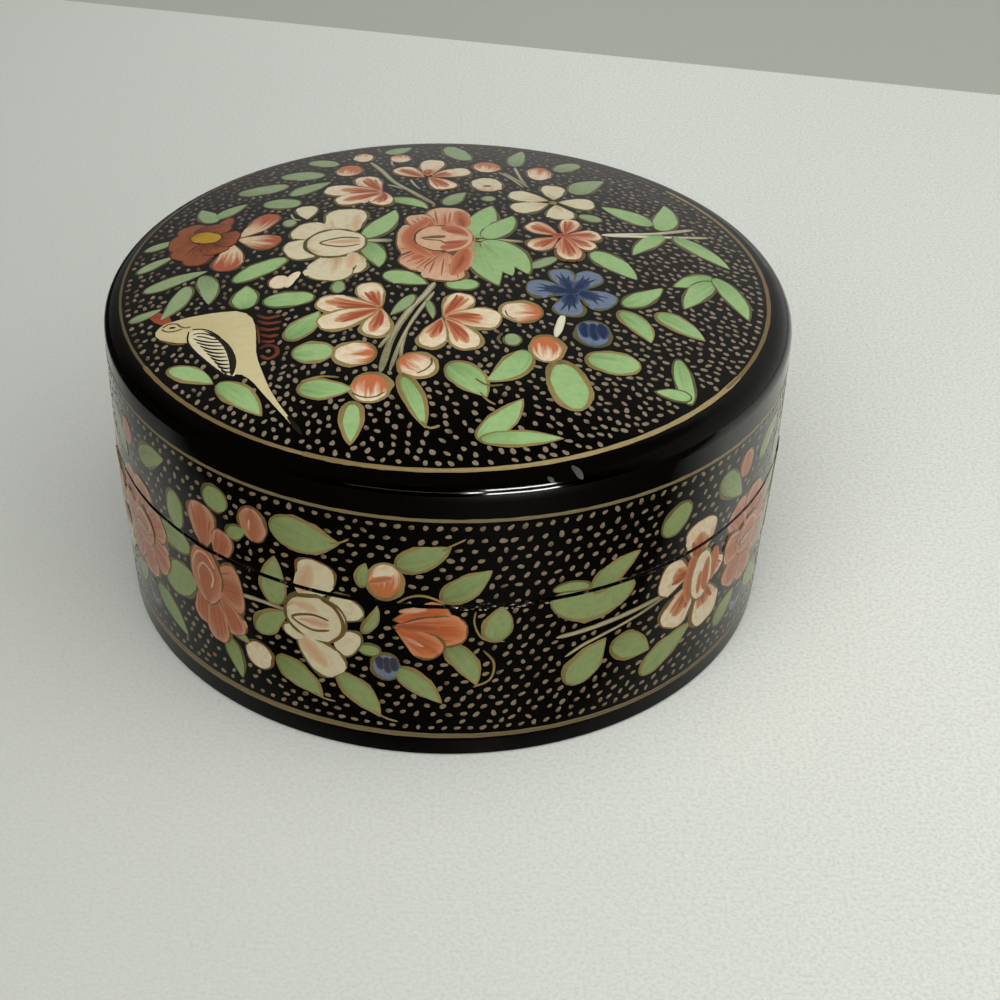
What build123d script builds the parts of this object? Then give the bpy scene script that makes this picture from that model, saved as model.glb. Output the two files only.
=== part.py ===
from build123d import *
from math import cos, radians, sin
import os

# A round papier mache box with a lift-off lid, in millimetres.
# The origin is the centre of the underside, where the box stands; +Z points up.
# Rings of wound paper make the walls, flat or domed pressed discs close them, and a
# thin inner ring lines the base and stands above the seam, so that the lid slips over it.

# Base
SEAM_HEIGHT = 24.8        # table to the line where base and lid meet
BASE_LEAN = 1.05          # how much less the outside radius is at the table than at the seam
FLOOR_THICKNESS = 2.6     # the disc that closes the base
FOOT_ROUND = 0.6          # worn edge round the underside
BASE_WALL = 2.6           # base wall at the seam

# Inner ring
COLLAR_WALL = 1.5         # thickness of the ring that lines the base
COLLAR_LIP = 5.5          # how far it stands above the seam, inside the lid
COLLAR_LEAD = 0.5         # bevel round its top edge, which guides the lid on
GLUE_LINE = 0.05          # glue between the inner ring and the base wall

# Lid
LID_DIAMETER = 90.0       # outside of the lid wall at its top, the widest place
LID_LEAN = 0.1            # how much less the lid's outside radius is at the seam
LID_WALL_HEIGHT = 15.2    # seam to the start of the rounded edge
LID_FIT = 0.3             # free space between the inner ring and the lid wall
TOP_THICKNESS = 3.0       # the domed disc that closes the lid
EDGE_ROUND = 2.75         # rounding of the disc's rim
EDGE_SLOPE = 11.46        # degrees by which the domed face leaves the rounded rim
SEAM_ROUND = 0.3          # softened edges that leave a fine groove at the seam

lid_radius = LID_DIAMETER / 2
seam_radius = lid_radius - LID_LEAN
foot_radius = seam_radius - BASE_LEAN
collar_outer = seam_radius - BASE_WALL - GLUE_LINE
collar_inner = collar_outer - COLLAR_WALL
collar_top = SEAM_HEIGHT + COLLAR_LIP
lid_bore = collar_outer + LID_FIT
lid_wall_top = SEAM_HEIGHT + LID_WALL_HEIGHT


def base_radius(height):
    """Outside radius of the base at a height: the wall leans out from foot to seam."""
    return foot_radius + BASE_LEAN * height / SEAM_HEIGHT


def upright_cylinder(radius, low, high):
    """A cylinder about the box's axis between two heights."""
    return Pos(0, 0, low) * Cylinder(radius, high - low, align=(Align.CENTER, Align.CENTER, Align.MIN))


def leaning_block(low_radius, high_radius, low, high):
    """A solid turned block between two heights, with a straight leaning side."""
    outline = Polyline((0, 0, low), (low_radius, 0, low), (high_radius, 0, high), (0, 0, high), close=True)
    return revolve(make_face(outline), Axis.Z)


def outer_rim(solid, height):
    """The outermost round edge of a solid at a height."""
    rims = solid.edges().filter_by(GeomType.CIRCLE).filter_by_position(Axis.Z, height - 0.001, height + 0.001)
    return rims.sort_by(SortBy.RADIUS)[-1]


def make_base_floor():
    """Disc under the base wall, with the worn edge that the box stands on."""
    disc = leaning_block(foot_radius, base_radius(FLOOR_THICKNESS), 0, FLOOR_THICKNESS)
    return fillet(outer_rim(disc, 0), FOOT_ROUND)


def make_base_wall():
    """Leaning ring that stands on the floor disc, with a straight bore for the inner ring."""
    block = leaning_block(base_radius(FLOOR_THICKNESS), seam_radius, FLOOR_THICKNESS, SEAM_HEIGHT)
    wall = block - upright_cylinder(seam_radius - BASE_WALL, FLOOR_THICKNESS, SEAM_HEIGHT)
    return fillet(outer_rim(wall, SEAM_HEIGHT), SEAM_ROUND)


def make_inner_collar():
    """Thin straight ring glued inside the base wall; its bevelled top guides the lid."""
    block = upright_cylinder(collar_outer, FLOOR_THICKNESS, collar_top)
    collar = block - upright_cylinder(collar_inner, FLOOR_THICKNESS, collar_top)
    return chamfer(outer_rim(collar, collar_top), COLLAR_LEAD)


def make_lid_wall():
    """Ring that rests on the base wall at the seam and slips over the inner ring."""
    block = leaning_block(seam_radius, lid_radius, SEAM_HEIGHT, lid_wall_top)
    wall = block - upright_cylinder(lid_bore, SEAM_HEIGHT, lid_wall_top)
    return fillet(outer_rim(wall, SEAM_HEIGHT), SEAM_ROUND)


def make_lid_top():
    """Domed disc on the lid wall: a flat seat, a rounded rim and a shallow dome, hollow below."""
    slope = radians(EDGE_SLOPE)
    arc_centre = lid_radius - EDGE_ROUND
    join_radius = arc_centre + EDGE_ROUND * sin(slope)
    join_height = lid_wall_top + EDGE_ROUND * cos(slope)
    dome_radius = join_radius / sin(slope)
    dome_centre = join_height - dome_radius * cos(slope)
    rim = Plane.XZ * CenterArc((arc_centre, lid_wall_top), EDGE_ROUND, 0, 90 - EDGE_SLOPE)
    dome = Plane.XZ * CenterArc((0, dome_centre), dome_radius, 90 - EDGE_SLOPE, EDGE_SLOPE)
    middle = Line((0, 0, dome_centre + dome_radius), (0, 0, lid_wall_top))
    seat = Line((0, 0, lid_wall_top), (lid_radius, 0, lid_wall_top))
    disc = revolve(make_face([rim, dome, middle, seat]), Axis.Z)
    under_dome = Pos(0, 0, dome_centre) * Sphere(dome_radius - TOP_THICKNESS)
    return disc - (under_dome & upright_cylinder(lid_bore, lid_wall_top, dome_centre + dome_radius))


os.makedirs("parts", exist_ok=True)
export_step(make_base_floor(), "parts/base_floor.step")
export_step(make_base_wall(), "parts/base_wall.step")
export_step(make_inner_collar(), "parts/inner_collar.step")
export_step(make_lid_wall(), "parts/lid_wall.step")
export_step(make_lid_top(), "parts/lid_top.step")
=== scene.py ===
import bmesh
import bpy
import numpy as np
from mathutils import Matrix, Vector
from mathutils.kdtree import KDTree


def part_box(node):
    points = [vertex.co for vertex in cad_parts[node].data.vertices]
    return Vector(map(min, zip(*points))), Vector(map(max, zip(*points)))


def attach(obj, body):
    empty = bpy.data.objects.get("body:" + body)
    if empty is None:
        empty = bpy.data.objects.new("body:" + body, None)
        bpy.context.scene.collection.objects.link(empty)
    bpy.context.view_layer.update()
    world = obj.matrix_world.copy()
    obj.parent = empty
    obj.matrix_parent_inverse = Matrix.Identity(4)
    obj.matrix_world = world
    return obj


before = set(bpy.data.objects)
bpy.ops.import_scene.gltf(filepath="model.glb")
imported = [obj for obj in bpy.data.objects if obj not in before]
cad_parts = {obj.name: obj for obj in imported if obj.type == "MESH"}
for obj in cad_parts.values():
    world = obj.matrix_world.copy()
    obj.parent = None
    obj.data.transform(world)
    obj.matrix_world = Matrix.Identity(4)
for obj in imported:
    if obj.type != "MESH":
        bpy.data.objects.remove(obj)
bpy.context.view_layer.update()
bpy.context.scene.view_settings.view_transform = "Standard"

MM = 0.001  # paint and patterns are laid out in millimetres, meshes are in metres


# ------------------------------------------------------------
# Base floor and inner ring: pulp board and wound paper under plain black lacquer.
# The floor disc is glued under the base wall, the ring inside it; the lid slips over the ring.

class Socket:
    """A shader value that can be written in plain sums; every operator adds one Math node."""

    def __init__(self, nodes, socket):
        self.nodes = nodes
        self.socket = socket

    def math(self, operation, first, second=0.0):
        return self.nodes.add("Math", {"operation": operation}, {0: first, 1: second})

    def __add__(self, other):
        return self.math("ADD", self, other)

    def __radd__(self, other):
        return self.math("ADD", other, self)

    def __sub__(self, other):
        return self.math("SUBTRACT", self, other)

    def __rsub__(self, other):
        return self.math("SUBTRACT", other, self)

    def __mul__(self, other):
        return self.math("MULTIPLY", self, other)

    def __rmul__(self, other):
        return self.math("MULTIPLY", other, self)

    def __truediv__(self, other):
        return self.math("DIVIDE", self, other)

    def __rtruediv__(self, other):
        return self.math("DIVIDE", other, self)

    def __pow__(self, other):
        return self.math("POWER", self, other)

    def __abs__(self):
        return self.math("ABSOLUTE", self)

    def limited(self):
        """The value kept between 0 and 1."""
        return self.nodes.add("Clamp", {}, {"Value": self, "Min": 0.0, "Max": 1.0})


class Nodes:
    """A node tree. add() makes a node from its type, its settings and its sockets; a ramp's stops are
    a setting, as (place, colour) pairs."""

    def __init__(self, tree):
        self.tree = tree

    def add(self, kind, settings, sockets, out=0):
        node = self.tree.nodes.new("ShaderNode" + kind)
        for name, value in settings.items():
            if name == "stops":
                self.set_stops(node.color_ramp.elements, value)
            else:
                setattr(node, name, value)
        for name, value in sockets.items():
            self.join(value, node.inputs[name])
        return Socket(self, node.outputs[out])

    def set_stops(self, elements, stops):
        while len(elements) < len(stops):
            elements.new(1.0)
        for element, (place, colour) in zip(elements, stops):
            element.position = place
            element.color = (*colour, 1.0)

    def join(self, value, socket):
        if isinstance(value, Socket):
            self.tree.links.new(value.socket, socket)
        else:
            socket.default_value = value

    def mix(self, share, first, second):
        """Colour that goes from first to second as share goes from 0 to 1."""
        return self.add("Mix", {"data_type": "RGBA"}, {0: share, 6: first, 7: second}, 2)

    def axis(self, vector, letter):
        """One of a vector's three values."""
        return self.add("SeparateXYZ", {}, {0: vector}, letter)

    def noise(self, vector, scale, detail=2.0, rough=0.5):
        """Soft noise from 0 to 1 with about scale lumps to each unit of the vector."""
        sockets = {"Vector": vector, "Scale": scale, "Detail": detail, "Roughness": rough}
        return self.add("TexNoise", {}, sockets, "Fac")

    def bump(self, height, depth, under=None):
        """Surface normal for a height from 0 to 1 over a depth in metres."""
        sockets = {"Height": height, "Strength": 1.0, "Distance": depth}
        if under is not None:
            sockets["Normal"] = under
        return self.add("Bump", {}, sockets)


class Finish(Nodes):
    """Node tree of one material."""

    def __init__(self, name):
        self.material = bpy.data.materials.new(name)
        self.material.use_nodes = True
        super().__init__(self.material.node_tree)
        self.shader = self.tree.nodes["Principled BSDF"]

    def place(self):
        """Object coordinates, in metres, the same for every piece of the box."""
        return self.add("TexCoord", {}, {}, "Object")

    def varnished(self, colour, roughness, normal, ior):
        """Ends the finish: colour under a clear gloss coat of spirit varnish."""
        self.join(colour, self.shader.inputs["Base Color"])
        self.join(roughness, self.shader.inputs["Roughness"])
        self.join(normal, self.shader.inputs["Normal"])
        self.join(ior, self.shader.inputs["IOR"])
        return self.material


def pigment(red, green, blue):
    """A paint's colour as it looks on a screen, 0 to 255, turned into light: ((c + 0.055) / 1.055) ^ 2.4."""
    shown = np.array([red, green, blue]) / 255
    light = np.where(shown > 0.04, ((shown + 0.055) / 1.055) ** 2.4, shown / 12.92)
    return (*[float(c) for c in light], 1.0)


def dress(node, material):
    """Gives a CAD piece its finish."""
    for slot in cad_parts[node].material_slots:
        slot.material = material


VARNISH_IOR = 1.45      # spirit varnish
VARNISH_WAVE = 190      # brushed varnish flows out in waves of about 5 mm
WAVE_DEPTH = 0.00005
GRAIN = 2600            # fine grain of the chalk ground under the coats


def lacquer_surface(finish, place):
    """Grain, uneven handling and the normal of lacquer: gentle waves with fine grain on them."""
    waves = finish.noise(place, VARNISH_WAVE, 1.0)
    grain = finish.noise(place, GRAIN, 3.0)
    handling = finish.noise(place, 45, 4.0, 0.6)
    normal = finish.bump(grain, 0.000002, finish.bump(waves, WAVE_DEPTH))
    return grain, handling, normal


def plain_lacquer(name, lacquer, browned, dull):
    """Black lacquer with duller patches and a trace of brown where it is thin."""
    finish = Finish(name)
    grain, handling, normal = lacquer_surface(finish, finish.place())
    thin = ((handling - 0.5) * 4.0).limited()
    colour = finish.mix(thin, lacquer, browned)
    return finish.varnished(colour, dull + handling * 0.10 + grain * 0.03, normal, VARNISH_IOR)


inside_lacquer = plain_lacquer("black_lacquer", pigment(8, 7, 6), pigment(24, 19, 14), 0.14)
dress("base_floor", inside_lacquer)
dress("inner_collar", inside_lacquer)


# ------------------------------------------------------------
# Base wall, lid wall and lid top: paper pulp under chalk ground and black lacquer.
# The two walls meet at the seam; the domed top is glued on the lid wall with a rounded edge.

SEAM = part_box("base_wall")[1].z / MM            # height at which the lid rests on the base
SEAM_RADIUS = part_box("base_wall")[1].x / MM     # outside of both walls at the seam
FOOT_RADIUS = 43.85                             # outside of the base at the table
LID_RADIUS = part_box("lid_wall")[1].x / MM       # widest place, at the top of the lid wall
EDGE_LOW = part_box("lid_top")[0].z / MM          # the rounded edge starts here
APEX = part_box("lid_top")[1].z / MM              # middle of the dome
EDGE_ROUND = 2.75                               # radius of the rounded edge
EDGE_SLOPE = np.radians(11.46)                  # the dome leaves the rounded edge at this slope

edge_centre = LID_RADIUS - EDGE_ROUND
dome_start = edge_centre + EDGE_ROUND * np.sin(EDGE_SLOPE)
dome_radius = dome_start / np.sin(EDGE_SLOPE)
dome_centre = APEX - dome_radius


def on_top(plan, height):
    """Points over the lid's top: x and y stay, z is the dome sqrt(R^2 - r^2) about its centre, or past
    its rim the rounded edge sqrt(e^2 - (r - c)^2); height is then added along the normal."""
    x, y = plan[..., 0], plan[..., 1]
    out = np.hypot(x, y)
    over = np.clip(out - edge_centre, 0.0, EDGE_ROUND)
    dome = dome_centre + np.sqrt(dome_radius**2 - out**2)
    edge = EDGE_LOW + np.sqrt(EDGE_ROUND**2 - over**2)
    z = np.where(out < dome_start, dome, edge)
    points = np.stack([x, y, z], -1)
    return points + top_normals(points) * height[..., None]


def top_normals(points):
    """Outward directions of the lid's top: from the dome's centre, or from the rounded edge's ring."""
    x, y, z = points[..., 0], points[..., 1], points[..., 2]
    out = np.hypot(x, y)
    share = np.where(out < dome_start, 1.0, (out - edge_centre) / np.maximum(out, 1.0))
    rise = np.where(out < dome_start, z - dome_centre, z - EDGE_LOW)
    normals = np.stack([x * share, y * share, rise], -1)
    return normals / np.linalg.norm(normals, axis=-1, keepdims=True)


def on_wall(plan, height):
    """Points round the walls: the first value is the way round in millimetres from the front, to the
    right, the second is z; the radius leans from foot to seam and from seam to lid edge."""
    angle = plan[..., 0] / SEAM_RADIUS
    z = plan[..., 1]
    base = FOOT_RADIUS + (SEAM_RADIUS - FOOT_RADIUS) * z / SEAM
    lid = SEAM_RADIUS + (LID_RADIUS - SEAM_RADIUS) * (z - SEAM) / (EDGE_LOW - SEAM)
    out = np.where(z < SEAM, base, lid) + height
    return np.stack([out * np.sin(angle), -out * np.cos(angle), z], -1)


def wall_normals(points):
    """Outward directions round the walls: level, away from the axis."""
    normals = points * (1.0, 1.0, 0.0)
    return normals / np.linalg.norm(normals, axis=-1, keepdims=True)


def painted_ground(name, lacquer, worn, dull):
    """Black lacquer of the painted faces; it is rubbed brown along the seam."""
    finish = Finish(name)
    place = finish.place()
    grain, handling, normal = lacquer_surface(finish, place)
    chips = finish.noise(place, 900, 4.0, 0.7)
    near_seam = 1.0 - abs(finish.axis(place, "Z") - SEAM * MM) / (0.7 * MM)
    rubbed = ((chips - 0.58) * 12.0).limited() * near_seam.limited()
    colour = finish.mix(rubbed, lacquer, worn)
    roughness = dull + handling * 0.08 + grain * 0.03 + rubbed * 0.3
    return finish.varnished(colour, roughness, normal, VARNISH_IOR)


ground = painted_ground("painted_lacquer", pigment(5, 4, 2), pigment(92, 74, 52), 0.03)
for node in ("base_wall", "lid_wall", "lid_top"):
    dress(node, ground)


# ------------------------------------------------------------
# Ruled gold lines: one round the top inside the edge, one round the lid wall under the edge
# and one round the foot, drawn with a liner brush in khaki gold while the box turns.

COAT = 0.006            # each coat of body colour lies this much higher than the one before it
FIRST_COAT = 0.030      # height of the first coat over the lacquer
SUNK = -0.030           # a stroke's rim runs into the lacquer, so that no edge stands open
SEAM_GAP = 0.3          # half the groove that the softened edges leave at the seam

FULL = (0.5, 0.5)       # oval stroke
LEAF = (0.55, 0.9)      # widest in its first half, with a fine tip
PETAL = (0.95, 0.42)    # narrow at its foot, with a broad round end
HEAD = (0.42, 0.95)     # the other way round
FLAME = (0.6, 0.5)      # nearly even, a little narrower at its foot

random = np.random.default_rng(7)
painted = []            # points on the box that already carry paint


def blades(rows, shapes, along=14, across=7):
    """Plan grid of many brush strokes at once, (stroke, along, across, 2). With t from 0 at the foot to
    1 at the tip the spine is the chord plus bend 4t(1-t) to its left, and the half width is
    half (t/f)^a ((1-t)/(1-f))^b with f = a/(a+b), which is 1 at its fullest place; each edge wavers on
    its own by a few percent."""
    rows = np.array(rows, float)
    early, late = np.array(shapes, float).T[:, :, None]
    foot, tip, half, bend = rows[:, 0:2], rows[:, 2:4], rows[:, 4, None], rows[:, 5, None]
    chord = tip - foot
    left = np.stack([-chord[:, 1], chord[:, 0]], 1) / np.linalg.norm(chord, axis=1, keepdims=True)
    t = (1 - np.cos(np.linspace(0, np.pi, along))) / 2
    s = np.sin(np.linspace(-np.pi / 2, np.pi / 2, across))
    fullest = early / (early + late)
    width = half * (t / fullest) ** early * ((1 - t) / (1 - fullest)) ** late
    ragged = random.uniform(0, 2 * np.pi, (2, 2, len(rows), 1))
    edges = width * (1 + 0.05 * np.sin(7 * t + ragged[0]) + 0.035 * np.sin(16 * t + ragged[1]))
    side = np.where(s > 0, edges[0][..., None], edges[1][..., None])
    spine = foot[:, None] + chord[:, None] * t[:, None] + left[:, None] * (bend * 4 * t * (1 - t))[..., None]
    ahead = chord[:, None] + left[:, None] * (bend * 4 * (1 - 2 * t))[..., None]
    square = np.stack([-ahead[..., 1], ahead[..., 0]], -1) / np.linalg.norm(ahead, axis=-1, keepdims=True)
    return spine[:, :, None] + square[:, :, None] * (side * s)[..., None]


def drawn_line(points, half, along=40, across=5):
    """Plan grid of one liner stroke through given points: a Catmull-Rom curve, with the half width
    rounded off over its first and last steps and swelling a little as the brush does."""
    knots = np.array(points, float)
    knots = np.vstack([2 * knots[0] - knots[1], knots, 2 * knots[-1] - knots[-2]])
    place = np.linspace(0, len(knots) - 3, along).clip(0, len(knots) - 3 - 1e-9)
    k = place.astype(int)
    u = (place - k)[:, None]
    a, b, c, d = knots[k], knots[k + 1], knots[k + 2], knots[k + 3]
    spine = b + 0.5 * u * (c - a + u * (2 * a - 5 * b + 4 * c - d + u * (3 * (b - c) + d - a)))
    ahead = np.gradient(spine, axis=0)
    square = np.stack([-ahead[:, 1], ahead[:, 0]], 1) / np.linalg.norm(ahead, axis=1, keepdims=True)
    t = np.linspace(0, 1, along)
    ends = np.clip(np.minimum(t, 1 - t) * along / 2.5, 0, 1) ** 0.5
    swell = 1 + 0.07 * np.sin(t * along * 0.4 + random.uniform(0, 6))
    s = np.sin(np.linspace(-np.pi / 2, np.pi / 2, across))
    return (spine[:, None] + square[:, None] * ((half * ends * swell)[:, None] * s)[..., None])[None]


def coat(grid, lift, seed, reach):
    """A closed thin film for each stroke of a plan grid: one point at each end, a top at lift whose
    rim is sunk into the lacquer, and a flat underside. Returns plan, height, brush, reach and faces."""
    count, along, across = grid.shape[:3]
    rings = along - 2
    number = 2 + rings * across
    middle = across // 2
    plan = np.concatenate([grid[:, :1, middle], grid[:, 1:-1].reshape(count, -1, 2), grid[:, -1:, middle]], 1)
    t = np.repeat(np.linspace(0, 1, along)[1:-1], across)
    s = np.tile(np.linspace(-1, 1, across), rings)
    t = np.concatenate([[0.0], t, [1.0]])
    s = np.concatenate([[0.0], s, [0.0]])
    rim = (np.abs(s) > 0.99) | (t == 0) | (t == 1)
    height = np.where(rim, SUNK, np.broadcast_to(np.reshape(lift, (-1, 1)), (count, number)))
    brush = np.stack(np.broadcast_arrays(t, s, np.reshape(seed, (-1, 1)) + 0 * t), -1)
    ids = 1 + np.arange(rings * across).reshape(rings, across)
    tip = number - 1
    top = np.stack([ids[:-1, :-1], ids[1:, :-1], ids[1:, 1:], ids[:-1, 1:]], -1).reshape(-1, 4)
    under = np.stack([ids[:-1, 0], ids[:-1, -1], ids[1:, -1], ids[1:, 0]], -1)
    first = np.stack([0 * ids[0, 1:], ids[0, :-1], ids[0, 1:]], -1)
    last = np.stack([0 * ids[0, 1:] + tip, ids[-1, 1:], ids[-1, :-1]], -1)
    caps = np.array([[0, ids[0, -1], ids[0, 0]], [tip, ids[-1, 0], ids[-1, -1]]])
    start = (np.arange(count) * number)[:, None, None]
    quads = (np.concatenate([top, under])[None] + start).reshape(-1, 4)
    triangles = (np.concatenate([first, last, caps])[None] + start).reshape(-1, 3)
    reach = np.repeat(np.broadcast_to(reach, count), number)
    return plan.reshape(-1, 2), height.ravel(), brush.reshape(-1, 3), reach, quads, triangles


def join_coats(coats):
    """Several coats as one: their points one after another, their faces counted on."""
    starts = np.cumsum([0] + [len(c[0]) for c in coats[:-1]])
    loose = [np.concatenate([c[k] for c in coats]) for k in range(4)]
    faces = [np.concatenate([c[k] + start for c, start in zip(coats, starts)]) for k in (4, 5)]
    return (*loose, *faces)


def film_piece(name, points, normals, brush, reach, faces, body, material):
    """One painted piece: mesh in metres, the varnish's own smooth normals, and the brush's path as
    point attributes: brush is (foot to tip, side to side, seed), reach is how far the deep colour goes."""
    mesh = bpy.data.meshes.new(name)
    mesh.from_pydata(points * MM, [], faces)
    mesh.attributes.new("brush", "FLOAT_VECTOR", "POINT").data.foreach_set("vector", brush.ravel())
    mesh.attributes.new("reach", "FLOAT", "POINT").data.foreach_set("value", reach)
    mesh.polygons.foreach_set("use_smooth", [True] * len(mesh.polygons))
    mesh.normals_split_custom_set_from_vertices(normals)
    mesh.materials.append(material)
    piece = bpy.data.objects.new(name, mesh)
    bpy.context.scene.collection.objects.link(piece)
    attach(piece, body)


def paint_top(name, coats, material):
    """Lays coats on the lid's top."""
    plan, height, brush, reach, quads, triangles = join_coats(coats)
    points = on_top(plan, height)
    painted.append(points[::2])
    faces = quads.tolist() + triangles.tolist()
    film_piece(name, points, top_normals(points), brush, reach, faces, "lid", material)


def half_of_wall(points, brush, reach, faces, above):
    """The part of a wall's coats on one side of the seam, cut along the groove and closed there."""
    mesh = bpy.data.meshes.new("cut")
    mesh.from_pydata(points, [], faces)
    mesh.attributes.new("brush", "FLOAT_VECTOR", "POINT").data.foreach_set("vector", brush.ravel())
    mesh.attributes.new("reach", "FLOAT", "POINT").data.foreach_set("value", reach)
    work = bmesh.new()
    work.from_mesh(mesh)
    level = SEAM + SEAM_GAP if above else SEAM - SEAM_GAP
    parts = work.verts[:] + work.edges[:] + work.faces[:]
    cut = bmesh.ops.bisect_plane(work, geom=parts, plane_co=(0, 0, level), plane_no=(0, 0, 1),
                                 clear_outer=not above, clear_inner=above)
    rims = [e for e in cut["geom_cut"] if isinstance(e, bmesh.types.BMEdge)]
    bmesh.ops.edgeloop_fill(work, edges=rims)
    work.to_mesh(mesh)
    work.free()
    count = len(mesh.vertices)
    kept = [np.empty(count * 3), np.empty(count * 3), np.empty(count)]
    mesh.vertices.foreach_get("co", kept[0])
    mesh.attributes["brush"].data.foreach_get("vector", kept[1])
    mesh.attributes["reach"].data.foreach_get("value", kept[2])
    faces = [tuple(polygon.vertices) for polygon in mesh.polygons]
    bpy.data.meshes.remove(mesh)
    return kept[0].reshape(-1, 3), kept[1].reshape(-1, 3), kept[2], faces


def paint_wall(name, coats, material):
    """Lays coats round the walls, as pieces that ride on the lid above the seam and the base below it."""
    plan, height, brush, reach, quads, triangles = join_coats(coats)
    points = on_wall(plan, height)
    painted.append(points[::2])
    faces = quads.tolist() + triangles.tolist()
    for body, above in (("lid", True), ("base", False)):
        if (points[:, 2].max() > SEAM) if above else (points[:, 2].min() < SEAM):
            half, half_brush, half_reach, half_faces = half_of_wall(points, brush, reach, faces, above)
            film_piece(f"{body}_wall_{name}", half, wall_normals(half), half_brush, half_reach,
                       half_faces, body, material)


WALL_PAINTED_SHADE = 0.34                  # how far the walls' paint is darkened towards brown: painted shade, as the walls get less light than the top
WALL_SHADE_BROWN = pigment(80, 60, 28)


def brush_paint(name, pale, deep, streaks=6.0, soft=0.12, core=False):
    """Opaque body colour under varnish; pale and deep are its colours as they look on a screen. The deep
    one runs from the stroke's foot as far as reach and ends in hairs of the brush, or as a core it lies
    in the stroke's middle and fades out to its rim. Both are a little uneven and the coat has a rounded
    rim. On the walls the paint is darkened towards brown: painted shade, as the walls get less light."""
    finish = Finish(name)
    pale, deep = pigment(*pale), pigment(*deep)
    brush = finish.add("Attribute", {"attribute_name": "brush"}, {}, "Vector")
    reach = finish.add("Attribute", {"attribute_name": "reach"}, {}, "Fac")
    along, side, seed = (finish.axis(brush, letter) for letter in "XYZ")
    hair_place = finish.add("CombineXYZ", {}, {"X": side * streaks, "Y": along * 1.6, "Z": seed})
    hairs = finish.noise(hair_place, 1.0, 2.0, 0.55)
    loaded = finish.noise(hair_place, 0.45, 1.0)
    if core:
        tide = abs(side) + along ** 6.0 + (hairs - 0.5) * 0.8
    else:
        tide = along + (hairs - 0.5) * 0.9 + (loaded - 0.5) * 0.5
    inked = ((reach - tide) / soft).limited()
    colour = finish.mix(inked, pale, deep)
    place = finish.place()
    mottle = finish.noise(place, 1100, 4.0, 0.6)
    colour = finish.mix(((mottle - 0.42) * 2.4).limited() * 0.45, colour, deep)
    # painted shade: paint below the lid's top edge, on the walls, is mixed towards brown, darker than the
    # same paint on the top
    below_top_edge = ((EDGE_LOW * MM - finish.axis(place, "Z")) / 0.001).limited()
    colour = finish.mix(below_top_edge * WALL_PAINTED_SHADE, colour, WALL_SHADE_BROWN)
    round_rim = 1.0 - abs(side) ** 5.0
    waves = finish.bump(finish.noise(place, VARNISH_WAVE, 1.0), WAVE_DEPTH)
    normal = finish.bump(round_rim * 0.8 + hairs * 0.35, 0.00003, waves)
    return finish.varnished(colour, 0.10 + hairs * 0.10, normal, VARNISH_IOR)


GOLD = brush_paint("gold_line_paint", (162, 144, 100), (116, 98, 62), 2.0, 0.5)
# painted shade: a darker copy of the gold line paint, for the lines round the walls and the back and left of
# the ring, where less light falls
SHADED_GOLD = brush_paint("dull_gold_paint", (126, 114, 84), (90, 80, 54), 2.0, 0.5)


def line_round(reading, half, reach):
    """A ruled line all the way round the wall at a wavering height; its two ends overlap."""
    way = np.linspace(-np.pi * SEAM_RADIUS, np.pi * SEAM_RADIUS + 1.0, 420)
    grid = drawn_line(np.stack([way, reading(way / SEAM_RADIUS)], -1), half, 840)
    return coat(grid, FIRST_COAT, random.uniform(0, 99, 1), reach)


# the back and left pulls of the ring take the darker gold copy as painted shade
RING_PULLS = {"back": (0.7, 2.2, 0.16, 1.4, SHADED_GOLD), "left": (2.2, 3.7, 0.2, 1.4, SHADED_GOLD),
              "front_left": (3.7, 4.35, 0.3, 1.2, GOLD), "front": (4.35, 5.7, 0.37, 0.4, GOLD),
              "right": (5.7, 6.98, 0.28, 1.2, GOLD)}    # angles, half width, depth of colour, paint
LID_LINE = 37.3         # height of the line round the lid wall
FOOT_LINE = 3.35        # and of the one at the foot


def ring_radius(angle):
    """The ring inside the edge lies a little off centre: r = 42.2 - 0.6 cos a - 0.2 sin a."""
    return 42.2 - 0.6 * np.cos(angle) - 0.2 * np.sin(angle)


def ring_pull(start, end, half):
    """One pull of the ring, a little out of true by 0.12 sin 3a."""
    angle = np.linspace(start - 0.05, end + 0.05, 100)
    out = ring_radius(angle) + 0.12 * np.sin(3 * angle + 1.0)
    return drawn_line(np.stack([out * np.cos(angle), out * np.sin(angle)], -1), half, 200)


for order, (side, (start, end, half, depth, gold)) in enumerate(RING_PULLS.items()):
    pull = coat(ring_pull(start, end, half), FIRST_COAT + COAT * order, [3.0 + order], depth)
    paint_top(f"top_gold_ring_{side}", [pull], gold)
lid_line = line_round(lambda a: LID_LINE - 0.35 * np.sin(a) + 0.1 * np.cos(3 * a), 0.27, 0.4)
paint_wall("gold_line", [lid_line], SHADED_GOLD)
paint_wall("foot_line", [
    line_round(lambda a: FOOT_LINE - 0.15 * np.sin(a + 0.3) + 0.06 * np.cos(3 * a), 0.3, 0.4),
    line_round(lambda a: FOOT_LINE + 0.37 - 0.42 * np.sin(a + 0.3), 0.3, 0.6),
], SHADED_GOLD)


# ------------------------------------------------------------
# Leaves: one press of a full brush each in pale green, on a khaki underpainting that shows
# as an outline. Those near the front carry the outline in gold, and some end in a fine tail.

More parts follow.
